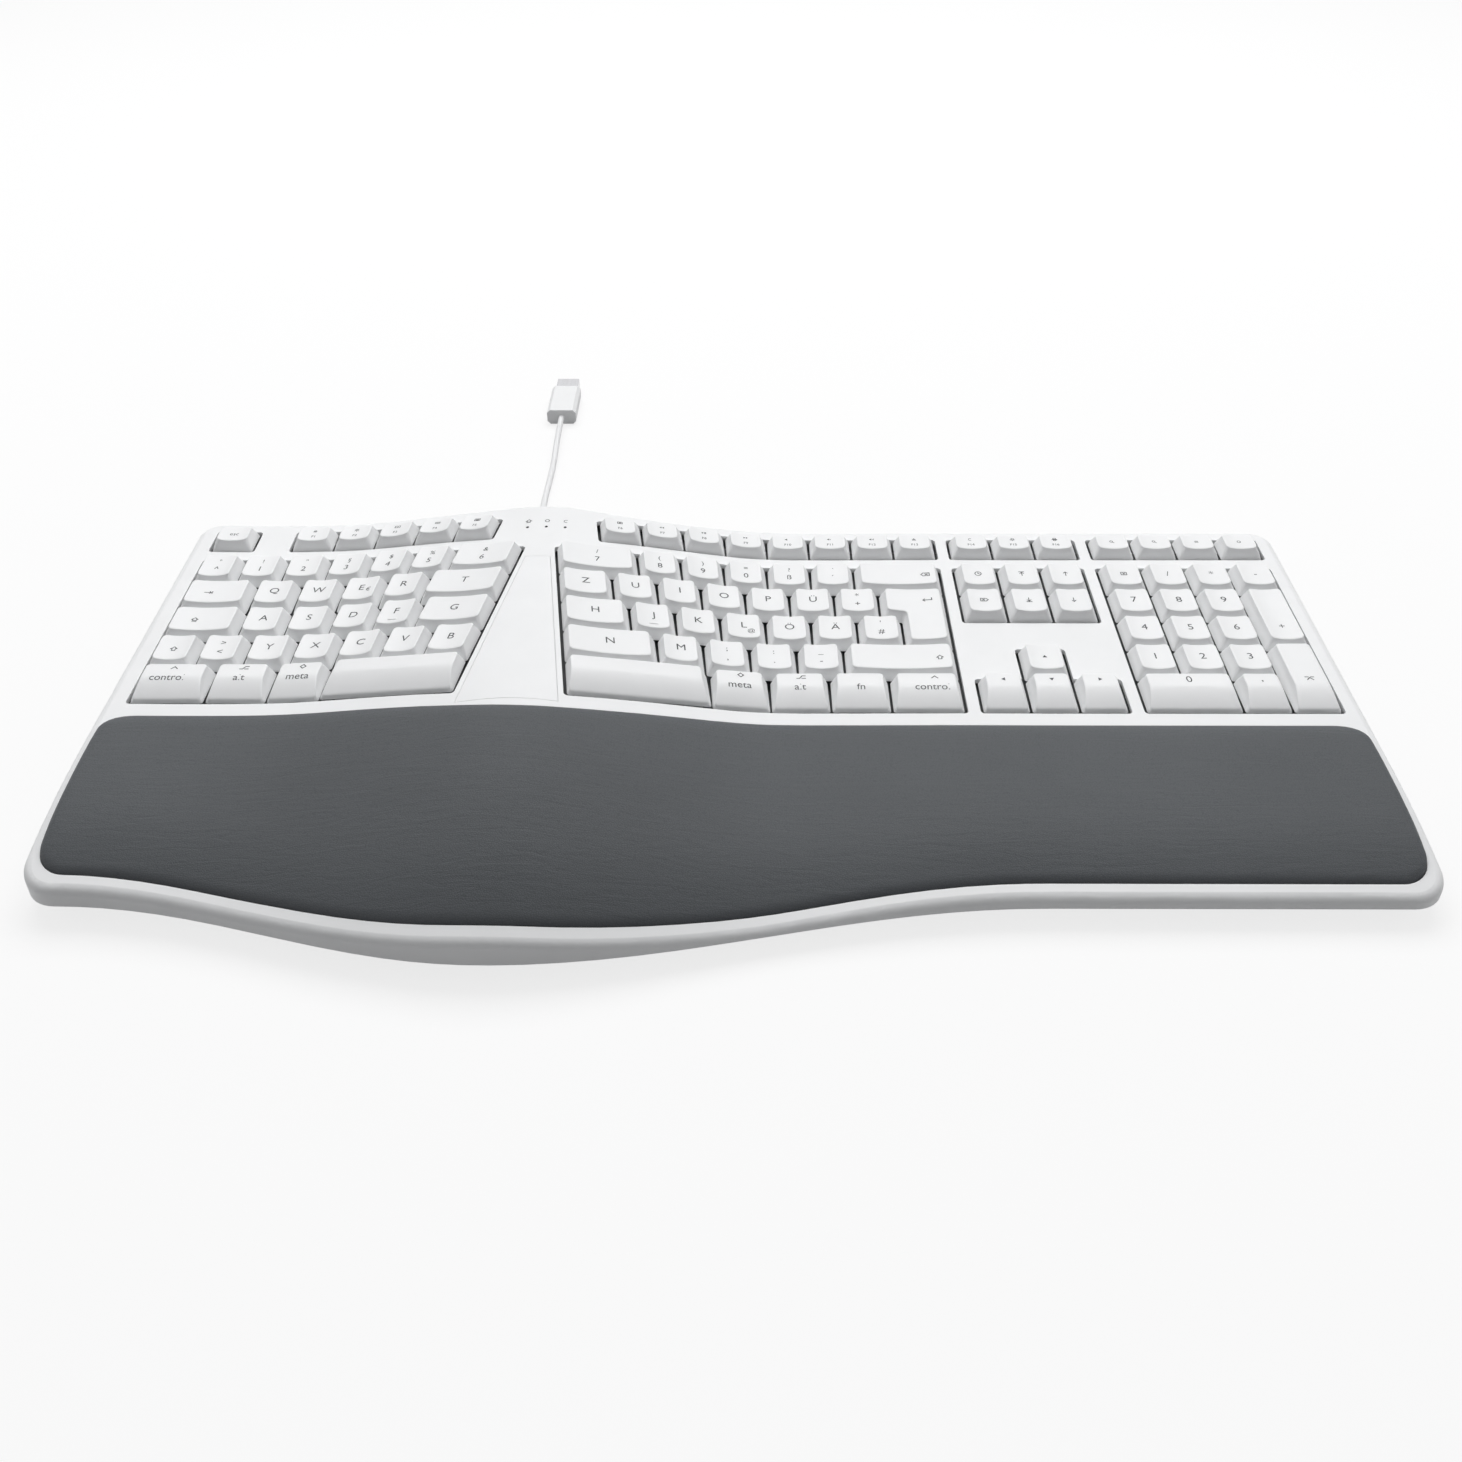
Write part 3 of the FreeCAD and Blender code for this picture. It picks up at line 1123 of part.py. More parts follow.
pieces = []
lengths = []
for label, points in (("cord_to_hank", route_in), ("cord_to_plug", route_out)):
    wire, shape = tube(route_path(points, label), cord_r)
    lengths.append(wire.Length)
    print(label, "length", round(wire.Length, 1), "volume ratio",
          round(shape.Volume / (wire.Length * math.pi * cord_r ** 2), 4))
    pieces.append(shape)
feature("cord", Part.Compound(pieces))
print("hank length", round(hank_wire.Length, 1), "volume ratio",
      round(hank.Volume / (hank_wire.Length * math.pi * cord_r ** 2), 4),
      "cord in all", round(hank_wire.Length + sum(lengths), 1))
# least gap of the hank to itself, on points a small step apart
step = 1.0
samples = []
along = 0.0
for e in hank_edges:
    n = max(2, int(e.Length / step))
    for p in e.discretize(n + 1)[:-1]:
        samples.append((along + e.Length * len([0]) * 0, p))
    along += e.Length
count = len(samples)
positions = []
run_length = 0.0
for i, (unused, p) in enumerate(samples):
    if i:
        run_length += (p - samples[i - 1][1]).Length
    positions.append((run_length, p))
least = 1e9
for i in range(count):
    si, p = positions[i]
    for j in range(i + 8, count):
        sj, q = positions[j]
        if sj - si > 4 * S.cord_diameter and abs(q.z - p.z) < 2 * track and abs(q.x - p.x) < least + 1:
            d = (q - p).Length
            if d < least:
                least = d
print("hank least gap", round(least - S.cord_diameter, 3))

# Tie round the hank's middle
ty0 = S.hank_y - b0 - cord_r - 0.4
ty1 = S.hank_y + a0 + cord_r + 0.4
tz1 = level[3] + cord_r + 0.3
tie = Part.makeBox(S.tie_width, ty1 - ty0 + 2 * S.tie_thickness, tz1 + S.tie_thickness,
                   V(S.tie_x - S.tie_width / 2, ty0 - S.tie_thickness, 0))
tie = tie.makeFillet(2.0, [e for e in tie.Edges if abs(e.Length - S.tie_width) < 1e-6])
tie_in = Part.makeBox(S.tie_width + 2, ty1 - ty0, tz1 - S.tie_thickness,
                      V(S.tie_x - S.tie_width / 2 - 1, ty0, S.tie_thickness))
tie_in = tie_in.makeFillet(1.5, [e for e in tie_in.Edges if abs(e.Length - S.tie_width - 2) < 1e-6])
feature("cord_tie", one(tie.cut(tie_in)))

body = doc.addObject("PartDesign::Body", "usb_plug_grip")
sketch = rectangle(body, "grip_outline", "XZ_Plane", "Sizes.grip_width", "Sizes.grip_height")
grip_pad = pad(body, "grip_pad", sketch, "Sizes.grip_length")
doc.recompute()
long_edges = ["Edge%d" % (i + 1) for i, e in enumerate(grip_pad.Shape.Edges)
              if abs(e.tangentAt(e.FirstParameter).y) > 0.9]
ends = body.newObject("PartDesign::Chamfer", "grip_chamfer")
ends.Base = (grip_pad, long_edges)
ends.setExpression("Size", "Sizes.grip_height / 5")
doc.recompute()
tongue = rectangle(body, "tongue_outline", "XZ_Plane", "Sizes.shell_width - 4 * Sizes.shell_wall",
                   "Sizes.shell_height / 2.4")
tongue_pad = pad(body, "tongue_pad", tongue, "Sizes.shell_length - 1")
tongue_pad.Reversed = True
body.Label = "usb_plug_grip"
body.Placement = FreeCAD.Placement(V(plug_x, plug_y + S.grip_length, plug_z), FreeCAD.Rotation())
nodes["usb_plug_grip"] = body

body = doc.addObject("PartDesign::Body", "usb_plug_shell")
sketch = rectangle(body, "shell_outline", "XZ_Plane", "Sizes.shell_width", "Sizes.shell_height")
pad(body, "shell_pad", sketch, "Sizes.shell_length")
doc.recompute()
sketch = rectangle(body, "shell_mouth", "XZ_Plane", "Sizes.shell_width - 2 * Sizes.shell_wall",
                   "Sizes.shell_height - 2 * Sizes.shell_wall")
doc.recompute()
mouth = body.newObject("PartDesign::Pocket", "shell_pocket")
mouth.Profile = sketch
mouth.Reversed = True
mouth.setExpression("Length", "Sizes.shell_length + 1")
body.Label = "usb_plug_shell"
body.Placement = FreeCAD.Placement(V(plug_x, plug_y + S.grip_length + S.shell_length, plug_z), FreeCAD.Rotation())
nodes["usb_plug_shell"] = body

doc.recompute()
bad = [o.Label for o in doc.Objects if "Invalid" in o.State or "Error" in o.State]
for label, obj in nodes.items():
    shape = obj.Shape
    if shape.isNull() or not shape.isValid() or shape.Volume <= 0:
        bad.append(label)
    if obj.Label != label:
        bad.append("label " + label)
if bad:
    raise RuntimeError("failed: " + ", ".join(bad))
for label, obj in nodes.items():
    obj.Shape.exportStep("parts/%s.step" % label)
print("nodes", len(nodes), "keys", len(keys))
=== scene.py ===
import bpy
import json
import math
from mathutils import Matrix, Vector, noise


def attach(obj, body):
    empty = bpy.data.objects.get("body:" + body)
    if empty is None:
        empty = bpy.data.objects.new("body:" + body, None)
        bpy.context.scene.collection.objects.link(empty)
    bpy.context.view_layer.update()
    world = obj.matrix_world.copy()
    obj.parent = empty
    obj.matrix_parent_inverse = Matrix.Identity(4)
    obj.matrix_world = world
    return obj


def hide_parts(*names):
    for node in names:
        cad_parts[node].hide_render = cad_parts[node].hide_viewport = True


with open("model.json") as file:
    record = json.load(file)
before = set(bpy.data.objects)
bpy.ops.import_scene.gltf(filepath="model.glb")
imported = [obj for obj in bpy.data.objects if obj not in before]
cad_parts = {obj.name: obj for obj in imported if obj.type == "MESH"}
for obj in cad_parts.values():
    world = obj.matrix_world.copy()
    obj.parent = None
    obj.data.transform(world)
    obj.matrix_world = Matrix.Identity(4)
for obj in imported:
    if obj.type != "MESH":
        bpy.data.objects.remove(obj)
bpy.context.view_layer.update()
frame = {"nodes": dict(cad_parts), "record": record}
nodes = frame["nodes"]
scene = bpy.context.scene
scene.view_settings.view_transform = "Standard"
MM = 0.001

# Camera: fitted to the keypad's grid of keys in the photograph
CAMERA_AT = Vector((0.0040, -0.4328, 0.3894))
CAMERA_PITCH = math.radians(32.731)
CAMERA_YAW = math.radians(-0.594)
CAMERA_ROLL = math.radians(-0.333)
CAMERA_LENS = 35.46
CAMERA_SHIFT = -0.158


def add_camera():
    level = math.cos(CAMERA_PITCH)
    forward = Vector((math.sin(CAMERA_YAW) * level, math.cos(CAMERA_YAW) * level, -math.sin(CAMERA_PITCH)))
    right = Vector((math.cos(CAMERA_YAW), -math.sin(CAMERA_YAW), 0.0))
    up = right.cross(forward)
    x = right * math.cos(CAMERA_ROLL) + up * math.sin(CAMERA_ROLL)
    y = up * math.cos(CAMERA_ROLL) - right * math.sin(CAMERA_ROLL)
    data = bpy.data.cameras.new("camera")
    data.sensor_width = 36.0
    data.lens = CAMERA_LENS
    data.shift_y = CAMERA_SHIFT
    data.clip_start = 0.01
    camera = bpy.data.objects.new("camera", data)
    scene.collection.objects.link(camera)
    camera.matrix_world = Matrix((
        (x.x, y.x, -forward.x, CAMERA_AT.x),
        (x.y, y.y, -forward.y, CAMERA_AT.y),
        (x.z, y.z, -forward.z, CAMERA_AT.z),
        (0.0, 0.0, 0.0, 1.0)))
    scene.camera = camera


add_camera()

# Sizes shared with the CAD source, in millimetres
WIDTH = 490.0
DEPTH = 239.0
DECK = 17.5
U = 19.05
GAP = 0.9
HALF = WIDTH / 2
FIELD_FRONT = -6.5
HUMP = -82.0
FRONT_SWELL = 24.4
BACK_SWELL = 7.0
FRONT_DROP = 5.8
PANEL_LEFT, PANEL_LEFT_LEAN = -98.4, 0.1623
PANEL_RIGHT, PANEL_RIGHT_LEAN = -70.4, 0.1437
PANEL_Y = 34.0
EXIT_X = -93.0


def integral(profile, x):
    # height gained up to x along a profile of slopes that change evenly between its points
    total = 0.0
    for (xa, sa), (xb, sb) in zip(profile, profile[1:]):
        if x >= xb:
            total += (sa + sb) / 2 * (xb - xa)
        elif x > xa:
            sm = sa + (sb - sa) * (x - xa) / (xb - xa)
            total += (sa + sm) / 2 * (x - xa)
    return total


def value_at(profile, x):
    for (xa, sa), (xb, sb) in zip(profile, profile[1:]):
        if xa <= x <= xb:
            return sa + (sb - sa) * (x - xa) / (xb - xa)
    return 0.0


# slopes along x: the tent raises the deck, and the sweep bends the rows of keys
tent = [(-192.0, 0.0), (-150.0, 0.185), (-100.0, 0.185), (-62.0, -0.233), (-10.7, -0.233), (29.3, 0.0)]
tent_sum = integral(tent, 1000.0)
sweep = [(-190.0, 0.0), (-115.0, -0.165), (-100.0, -0.165), (-62.0, 0.144), (-40.0, 0.144)]
sweep.append((-40.0 - integral(sweep, 1000.0) * 2 / 0.144, 0.0))


def tent_rise(x):
    return integral(tent, x) - tent_sum


def bend(x):
    return integral(sweep, x)


def cosine_bump(x, centre, left, right_side):
    t = (x - centre) / (left if x < centre else right_side)
    return 0.5 * (1 + math.cos(math.pi * t)) if abs(t) < 1 else 0.0


def front_line(x):
    return -DEPTH / 2 + FRONT_SWELL * (1 - cosine_bump(x, HUMP, 150.0, 190.0))


def back_line(x):
    return DEPTH / 2 - BACK_SWELL * cosine_bump(x, HUMP + 20, 120.0, 85.0)


def tent_keep(y):
    # share of the tent's rise that is left at y, less towards the front
    t = (FIELD_FRONT - 13.5 - y) / (DEPTH / 2 + FIELD_FRONT - 13.5)
    t = min(max(t, 0.0), 1.0)
    return 1 - 0.33 * t * t * (3 - 2 * t)


def deck(x, y):
    # height of the deck's surface, which falls away in front of the keys
    t = (FIELD_FRONT - 18.5 - y) / 70.0
    drop = FRONT_DROP * t ** 2.6 if t > 0 else 0.0
    return DECK - drop + tent_rise(x) * tent_keep(y)


# Mesh helpers
def new_object(name, verts, faces, materials, indices=None, smooth=True, angle=38.0):
    mesh = bpy.data.meshes.new(name)
    mesh.from_pydata(verts, [], faces)
    for m in materials:
        mesh.materials.append(m)
    if indices:
        mesh.polygons.foreach_set("material_index", indices)
    if smooth:
        mesh.polygons.foreach_set("use_smooth", [True] * len(mesh.polygons))
        mesh.set_sharp_from_angle(angle=math.radians(angle))
    mesh.update()
    obj = bpy.data.objects.new(name, mesh)
    scene.collection.objects.link(obj)
    return obj


# Materials
ROUGH_VARY = 0.05


def ramp_between(nt, low, high):
    ramp = nt.nodes.new("ShaderNodeValToRGB")
    ramp.color_ramp.elements[0].position = 0.3
    ramp.color_ramp.elements[1].position = 0.7
    ramp.color_ramp.elements[0].color = (*low, 1.0)
    ramp.color_ramp.elements[1].color = (*high, 1.0)
    return ramp


def texture(nt, kind, scale, stretch=(1.0, 1.0, 1.0), **settings):
    coords = nt.nodes.new("ShaderNodeTexCoord")
    mapping = nt.nodes.new("ShaderNodeMapping")
    mapping.inputs["Scale"].default_value = stretch
    tex = nt.nodes.new(kind)
    tex.inputs["Scale"].default_value = scale
    for key, value in settings.items():
        if key in tex.inputs:
            tex.inputs[key].default_value = value
        else:
            setattr(tex, key, value)
    nt.links.new(coords.outputs["Object"], mapping.inputs["Vector"])
    nt.links.new(mapping.outputs["Vector"], tex.inputs["Vector"])
    return tex


def finish(name, colour, rough=0.45, vary=0.02, patch=60.0, grain=2500.0, bump=0.05, depth=0.00005,
           metallic=0.0, coat=0.0, stretch=(1.0, 1.0, 1.0)):
    m = bpy.data.materials.new(name)
    m.use_nodes = True
    nt = m.node_tree
    shader = nt.nodes["Principled BSDF"]
    shader.inputs["Metallic"].default_value = metallic
    shader.inputs["Coat Weight"].default_value = coat
    broad = texture(nt, "ShaderNodeTexNoise", patch, stretch, Detail=4.0)
    low = [max(c * (1 - vary), 0.0) for c in colour]
    high = [min(c * (1 + vary), 1.0) for c in colour]
    ramp = ramp_between(nt, low, high)
    nt.links.new(broad.outputs["Fac"], ramp.inputs["Fac"])
    nt.links.new(ramp.outputs["Color"], shader.inputs["Base Color"])
    fine = texture(nt, "ShaderNodeTexNoise", grain, stretch, Detail=3.0)
    spread = nt.nodes.new("ShaderNodeMapRange")
    spread.inputs["To Min"].default_value = rough - ROUGH_VARY
    spread.inputs["To Max"].default_value = rough + ROUGH_VARY
    nt.links.new(fine.outputs["Fac"], spread.inputs["Value"])
    nt.links.new(spread.outputs["Result"], shader.inputs["Roughness"])
    relief = nt.nodes.new("ShaderNodeBump")
    relief.inputs["Strength"].default_value = bump
    relief.inputs["Distance"].default_value = depth
    nt.links.new(fine.outputs["Fac"], relief.inputs["Height"])
    nt.links.new(relief.outputs["Normal"], shader.inputs["Normal"])
    return m


def leather(name, colour):
    m = bpy.data.materials.new(name)
    m.use_nodes = True
    nt = m.node_tree
    shader = nt.nodes["Principled BSDF"]
    shader.inputs["Specular IOR Level"].default_value = 0.20
    shader.inputs["Sheen Weight"].default_value = 0.02
    shader.inputs["Sheen Roughness"].default_value = 0.5
    broad = texture(nt, "ShaderNodeTexNoise", 9.0, (1.0, 1.6, 1.0), Detail=3.0)
    ramp = ramp_between(nt, [c * 0.93 for c in colour], [c * 1.07 for c in colour])
    nt.links.new(broad.outputs["Fac"], ramp.inputs["Fac"])
    pebble = texture(nt, "ShaderNodeTexVoronoi", 1250.0, (1.0, 1.25, 1.0), feature="DISTANCE_TO_EDGE",
                     Randomness=1.0)
    crease = nt.nodes.new("ShaderNodeMapRange")
    crease.inputs["From Max"].default_value = 0.16
    nt.links.new(pebble.outputs["Distance"], crease.inputs["Value"])
    tone = nt.nodes.new("ShaderNodeMix")
    tone.data_type = "RGBA"
    tone.blend_type = "MULTIPLY"
    tone.inputs["Factor"].default_value = 0.14
    nt.links.new(ramp.outputs["Color"], tone.inputs["A"])
    nt.links.new(crease.outputs["Result"], tone.inputs["B"])
    nt.links.new(tone.outputs["Result"], shader.inputs["Base Color"])
    spread = nt.nodes.new("ShaderNodeMapRange")
    spread.inputs["To Min"].default_value = 0.60
    spread.inputs["To Max"].default_value = 0.50
    nt.links.new(crease.outputs["Result"], spread.inputs["Value"])
    nt.links.new(spread.outputs["Result"], shader.inputs["Roughness"])
    folds = texture(nt, "ShaderNodeTexNoise", 95.0, (0.55, 3.4, 1.0), Detail=5.0, Roughness=0.62,
                    Distortion=1.1)
    first = nt.nodes.new("ShaderNodeBump")
    first.inputs["Strength"].default_value = 0.34
    first.inputs["Distance"].default_value = 0.0006
    nt.links.new(folds.outputs["Fac"], first.inputs["Height"])
    second = nt.nodes.new("ShaderNodeBump")
    second.inputs["Strength"].default_value = 0.30
    second.inputs["Distance"].default_value = 0.00012
    nt.links.new(crease.outputs["Result"], second.inputs["Height"])
    nt.links.new(first.outputs["Normal"], second.inputs["Normal"])
    nt.links.new(second.outputs["Normal"], shader.inputs["Normal"])
    return m


MATERIALS = {
    "case_white": finish("case_white", (0.86, 0.865, 0.87), rough=0.46, vary=0.012, bump=0.06),
    "key_white": finish("key_white", (0.88, 0.885, 0.89), rough=0.42, vary=0.012, bump=0.05),
    "frame_grey": finish("frame_grey", (0.16, 0.165, 0.17), rough=0.6, vary=0.06),
    "dome_silicone": finish("dome_silicone", (0.62, 0.63, 0.64), rough=0.5, vary=0.04, patch=120.0),
    "membrane_film": finish("membrane_film", (0.60, 0.62, 0.65), rough=0.3, vary=0.03, coat=0.3),
    "plate_steel": finish("plate_steel", (0.60, 0.61, 0.63), rough=0.38, metallic=1.0, vary=0.05, patch=25.0,
                          stretch=(1.0, 12.0, 12.0), bump=0.08),
    "board_green": finish("board_green", (0.04, 0.17, 0.08), rough=0.35, vary=0.12, patch=500.0, coat=0.4),
    "led_body": finish("led_body", (0.75, 0.75, 0.66), rough=0.22, vary=0.03),
    "window_dark": finish("window_dark", (0.035, 0.035, 0.04), rough=0.25, vary=0.1, patch=900.0),
    "foam_grey": finish("foam_grey", (0.12, 0.125, 0.13), rough=0.9, vary=0.2, grain=900.0, bump=0.5,
                        depth=0.0004),
    "palm_leather": leather("palm_leather", (0.089, 0.095, 0.102)),
    "screw_steel": finish("screw_steel", (0.42, 0.43, 0.45), rough=0.32, metallic=1.0, vary=0.06,
                          patch=800.0),
    "foot_rubber": finish("foot_rubber", (0.055, 0.055, 0.06), rough=0.85, vary=0.12, bump=0.25,
                          depth=0.0001),
    "cord_white": finish("cord_white", (0.84, 0.845, 0.85), rough=0.5, vary=0.02, bump=0.08),
    "tie_black": finish("tie_black", (0.02, 0.02, 0.022), rough=0.55, vary=0.15, grain=1800.0, bump=0.3),
    "plug_steel": finish("plug_steel", (0.66, 0.66, 0.68), rough=0.2, metallic=1.0, vary=0.04, patch=60.0,
                         stretch=(8.0, 1.0, 8.0)),
}
legend_ink = finish("legend_ink", (0.05, 0.052, 0.056), rough=0.55, vary=0.08, patch=700.0)

# Every solid of the frame gets the material of its slot
for sub in frame["record"]["subparts"]:
    obj = nodes[sub["node"]]
    chosen = MATERIALS[sub["material_slot"]]
    if not obj.data.materials:
        obj.data.materials.append(chosen)
    for i in range(len(obj.data.materials)):
        obj.data.materials[i] = chosen

# The cord: out of the back, over to the hank behind the case, and on to the plug
CORD_D = 3.0
HANK_GAP = 0.3
TRACK = CORD_D + HANK_GAP
LEVELS = [2.1 + TRACK * i for i in range(4)]
HANK_X, HANK_Y = -92.0, 126.94
HANK_RUN = 68.0
HANK_FOLD = 6.0
# the hank's inner and outer tracks, behind and in front of its middle
A1 = HANK_FOLD + TRACK / 4
B1 = HANK_FOLD - TRACK / 4
A0 = A1 + TRACK
B0 = B1 + TRACK
FAR_Y = HANK_Y + A0
TOP_Y = HANK_Y - B0
EXIT_Z = 20.0
RELIEF_LENGTH = 10.0
RELIEF_OVERLAP = 9.0
relief_end = back_line(EXIT_X) + RELIEF_LENGTH


def fold(side, y_from, y_to, z):
    # one half turn at an end of the hank: nine points on a half circle
    cx = HANK_X + side * HANK_RUN / 2
    cy = HANK_Y + (y_from + y_to) / 2
    reach = (y_from - y_to) / 2 * 1.02
    pts = []
    for i in range(9):
        t = math.pi * i / 8
        pts.append((cx + side * abs(reach) * math.sin(t), cy + reach * math.cos(t), z))
    return pts


def hank_route():
    # from the bottom, where the length to the plug starts, to the top
    pts = [(-75.5, FAR_Y, LEVELS[0])]
    for n, z in enumerate(LEVELS):
        if n % 2 == 0:
            pts += fold(1, A0, -B0, z) + fold(-1, -B0, A1, z) + fold(1, A1, -B1, z)
            if n < 3:
                pts += fold(-1, -B1, A1, LEVELS[n + 1])
        else:
            pts += fold(1, A1, -B0, z)
            if n < 3:
                pts += fold(-1, -B0, A0, LEVELS[n + 1])
    pts.append((-90.0, TOP_Y, LEVELS[3]))
    return pts


route_in = [
    (EXIT_X, relief_end - RELIEF_OVERLAP, EXIT_Z), (EXIT_X, relief_end, EXIT_Z), (EXIT_X, 128.2, EXIT_Z),
    (-97.2, 132.3, 18.9), (-103.2, 132.3, 18.0), (-107.4, 128.1, 17.2), (-107.4, 122.2, 16.4),
    (-103.2, TOP_Y + 0.2, 15.5), (-97.2, TOP_Y, LEVELS[3]),
]
route_out = [
    (-85.4, FAR_Y, LEVELS[0]), (-94.5, FAR_Y + 10.0, 1.5), (-95.3, FAR_Y + 36.0, 1.5),
    (-94.3, FAR_Y + 64.0, 1.5), (-94.9, FAR_Y + 90.0, 4.1), (-95.0, 251.5, 4.2),
]
route = route_in + list(reversed(hank_route())) + route_out


def cord_tube():
    curve = bpy.data.curves.new("usb_cord", "CURVE")
    curve.dimensions = "3D"
    line = curve.splines.new("NURBS")
    line.points.add(len(route) - 1)
    for point, p in zip(line.points, route):
        point.co = (p[0] * MM, p[1] * MM, p[2] * MM, 1.0)
    line.order_u = 3
    line.use_endpoint_u = True
    line.resolution_u = 4
    curve.bevel_depth = CORD_D / 2 * MM
    curve.bevel_resolution = 4
    curve.use_fill_caps = True
    curve.materials.append(MATERIALS["cord_white"])
    tube = bpy.data.objects.new("usb_cord", curve)
    scene.collection.objects.link(tube)
    return tube


cord = cord_tube()
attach(cord, "case")
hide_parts("cord", "cord_hank")


# Key layout, walked along the rows as in the CAD source
class Key:
    pass


keys = []
SIDE_LEFT, SIDE_RIGHT = 9.7, 8.4
BLOCK_GAP = 6.35
X_KEYPAD = HALF - SIDE_RIGHT - 4 * U
X_NAV = X_KEYPAD - BLOCK_GAP - 3 * U
X_RIGHT = X_NAV - BLOCK_GAP
X_LEFT = -HALF + SIDE_LEFT
X_F1 = -199.2
ROW_Y = [FIELD_FRONT + k * U for k in range(6)]
FUNCTION_Y = ROW_Y[5] + 7.95
FUNCTION_DEPTH = 14.3
# a cap's rim under the deck and its top over it, and how far its walls lean in
SINK, RISE = 1.0, 5.0
SIDE_IN, BACK_IN, FRONT_IN, ROLL_IN = 2.2, 0.9, 2.1, 0.4
DISH = 0.90
STEM, STEM_FOOT = 2.6, -6.6
FINGER_KEY = {"keys_home_left": 4, "keys_home_right": 5}
BAR_AT, BAR_HALF, BAR_RISE = -4.6, 2.1, 0.32


def step_along(x, length, direction):
    for i in range(40):
        sx = value_at(sweep, x)
        sz = value_at(tent, x)
        x += direction * length / 40 / math.sqrt(1 + sx * sx + sz * sz)
    return x


def add_key(group, xl, xr, y0, depth, kind="dish"):
    k = Key()
    k.group = group
    k.x = (xl + xr) / 2
    k.y = y0 + depth / 2 + bend(k.x)
    k.turn = math.atan(value_at(sweep, k.x))
    k.w = ((xr - xl) / math.cos(k.turn) - GAP) / 2
    k.d = (depth - GAP) / 2
    k.slope = value_at(tent, k.x)
    k.z = DECK + tent_rise(k.x)
    k.kind = kind
    k.notch = 0.0
    keys.append(k)
    return k


def run_keys(group, x, widths, y0, depth=U, kind="dish", direction=1):
    for width in widths:
        x2 = step_along(x, width * U, direction)
        add_key(group, min(x, x2), max(x, x2), y0, depth, kind)
        x = x2
    return x


# the rows end on both sides of the centre panel, along two leaning lines
def inner_left(y):
    return PANEL_LEFT + (y - PANEL_Y + bend(PANEL_LEFT)) * PANEL_LEFT_LEAN


def inner_right(y):
    return PANEL_RIGHT - (y - PANEL_Y + bend(PANEL_RIGHT)) * PANEL_RIGHT_LEAN


LEFT = [(0, [1.54, 1.275, 1.15], "keys_bottom_left", "key_space_left", "roll"),
        (1, [1.0] * 6, "keys_lower_left", "keys_lower_left", "dish"),
        (2, [1.6, 1.0, 1.0, 1.0, 1.0], "keys_home_left", "keys_home_left", "dish"),
        (3, [1.56, 1.0, 1.0, 1.0, 1.0], "keys_upper_left", "keys_upper_left", "dish"),
        (4, [1.0] * 6, "keys_number_left", "keys_number_left", "dish")]
for row, widths, group, inner_group, kind in LEFT:
    x = run_keys(group, X_LEFT, widths, ROW_Y[row], kind=kind)
    add_key(inner_group, x, inner_left(ROW_Y[row] + U / 2), ROW_Y[row], U, kind)
RIGHT = [(0, [1.5, 1.25, 1.25, 1.25], "keys_bottom_right", "key_space_right", "roll"),
         (1, [2.4, 1.0, 1.0, 1.0, 1.0], "keys_lower_right", "keys_lower_right", "dish"),
         (2, [1.05] + [1.0] * 6, "keys_home_right", "keys_home_right", "dish"),
         (3, [1.5] + [1.0] * 6, "keys_upper_right", "keys_upper_right", "dish"),
         (4, [2.0] + [1.0] * 5, "keys_number_right", "keys_number_right", "dish")]
FIRST = {1: "key_shift_right", 4: "key_backspace"}
enter_low = enter_high = X_RIGHT
for row, widths, group, inner_group, kind in RIGHT:
    x = X_RIGHT
    for i, width in enumerate(widths):
        x2 = step_along(x, width * U, -1)
        if i == 0 and row == 2:
            enter_low = x2
        elif i == 0 and row == 3:
            enter_high = x2
        else:
            add_key(FIRST[row] if i == 0 and row in FIRST else group, x2, x, ROW_Y[row], U, kind)
        x = x2
    add_key(inner_group, inner_right(ROW_Y[row] + U / 2), x, ROW_Y[row], U, kind)
enter = add_key("key_enter", enter_high, X_RIGHT, ROW_Y[2], 2 * U, "enter")
enter.notch = enter_low - enter_high
add_key("key_escape", X_LEFT, X_LEFT + U, FUNCTION_Y, FUNCTION_DEPTH)
run_keys("keys_f1_to_f5", X_F1, [1.0] * 5, FUNCTION_Y, FUNCTION_DEPTH)
run_keys("keys_f6_to_f13", X_RIGHT, [1.0] * 8, FUNCTION_Y, FUNCTION_DEPTH, direction=-1)
run_keys("keys_f14_to_f16", X_NAV, [1.0] * 3, FUNCTION_Y, FUNCTION_DEPTH)
run_keys("keys_keypad_function", X_KEYPAD, [1.0] * 4, FUNCTION_Y, FUNCTION_DEPTH)
run_keys("keys_navigation_upper", X_NAV, [1.0] * 3, ROW_Y[4])
run_keys("keys_navigation_lower", X_NAV, [1.0] * 3, ROW_Y[3])
add_key("key_arrow_up", X_NAV + U, X_NAV + 2 * U, ROW_Y[1], U)
run_keys("keys_arrows_lower", X_NAV, [1.0] * 3, ROW_Y[0], kind="roll")
run_keys("keys_keypad_operators", X_KEYPAD, [1.0] * 4, ROW_Y[4])
run_keys("keys_keypad_789", X_KEYPAD, [1.0] * 3, ROW_Y[3])
run_keys("keys_keypad_456", X_KEYPAD, [1.0] * 3, ROW_Y[2])
run_keys("keys_keypad_123", X_KEYPAD, [1.0] * 3, ROW_Y[1])
add_key("key_keypad_plus", X_KEYPAD + 3 * U, X_KEYPAD + 4 * U, ROW_Y[2], 2 * U)
add_key("key_keypad_enter", X_KEYPAD + 3 * U, X_KEYPAD + 4 * U, ROW_Y[0], 2 * U, "roll")
add_key("key_keypad_zero", X_KEYPAD, X_KEYPAD + 2 * U, ROW_Y[0], U, "roll")
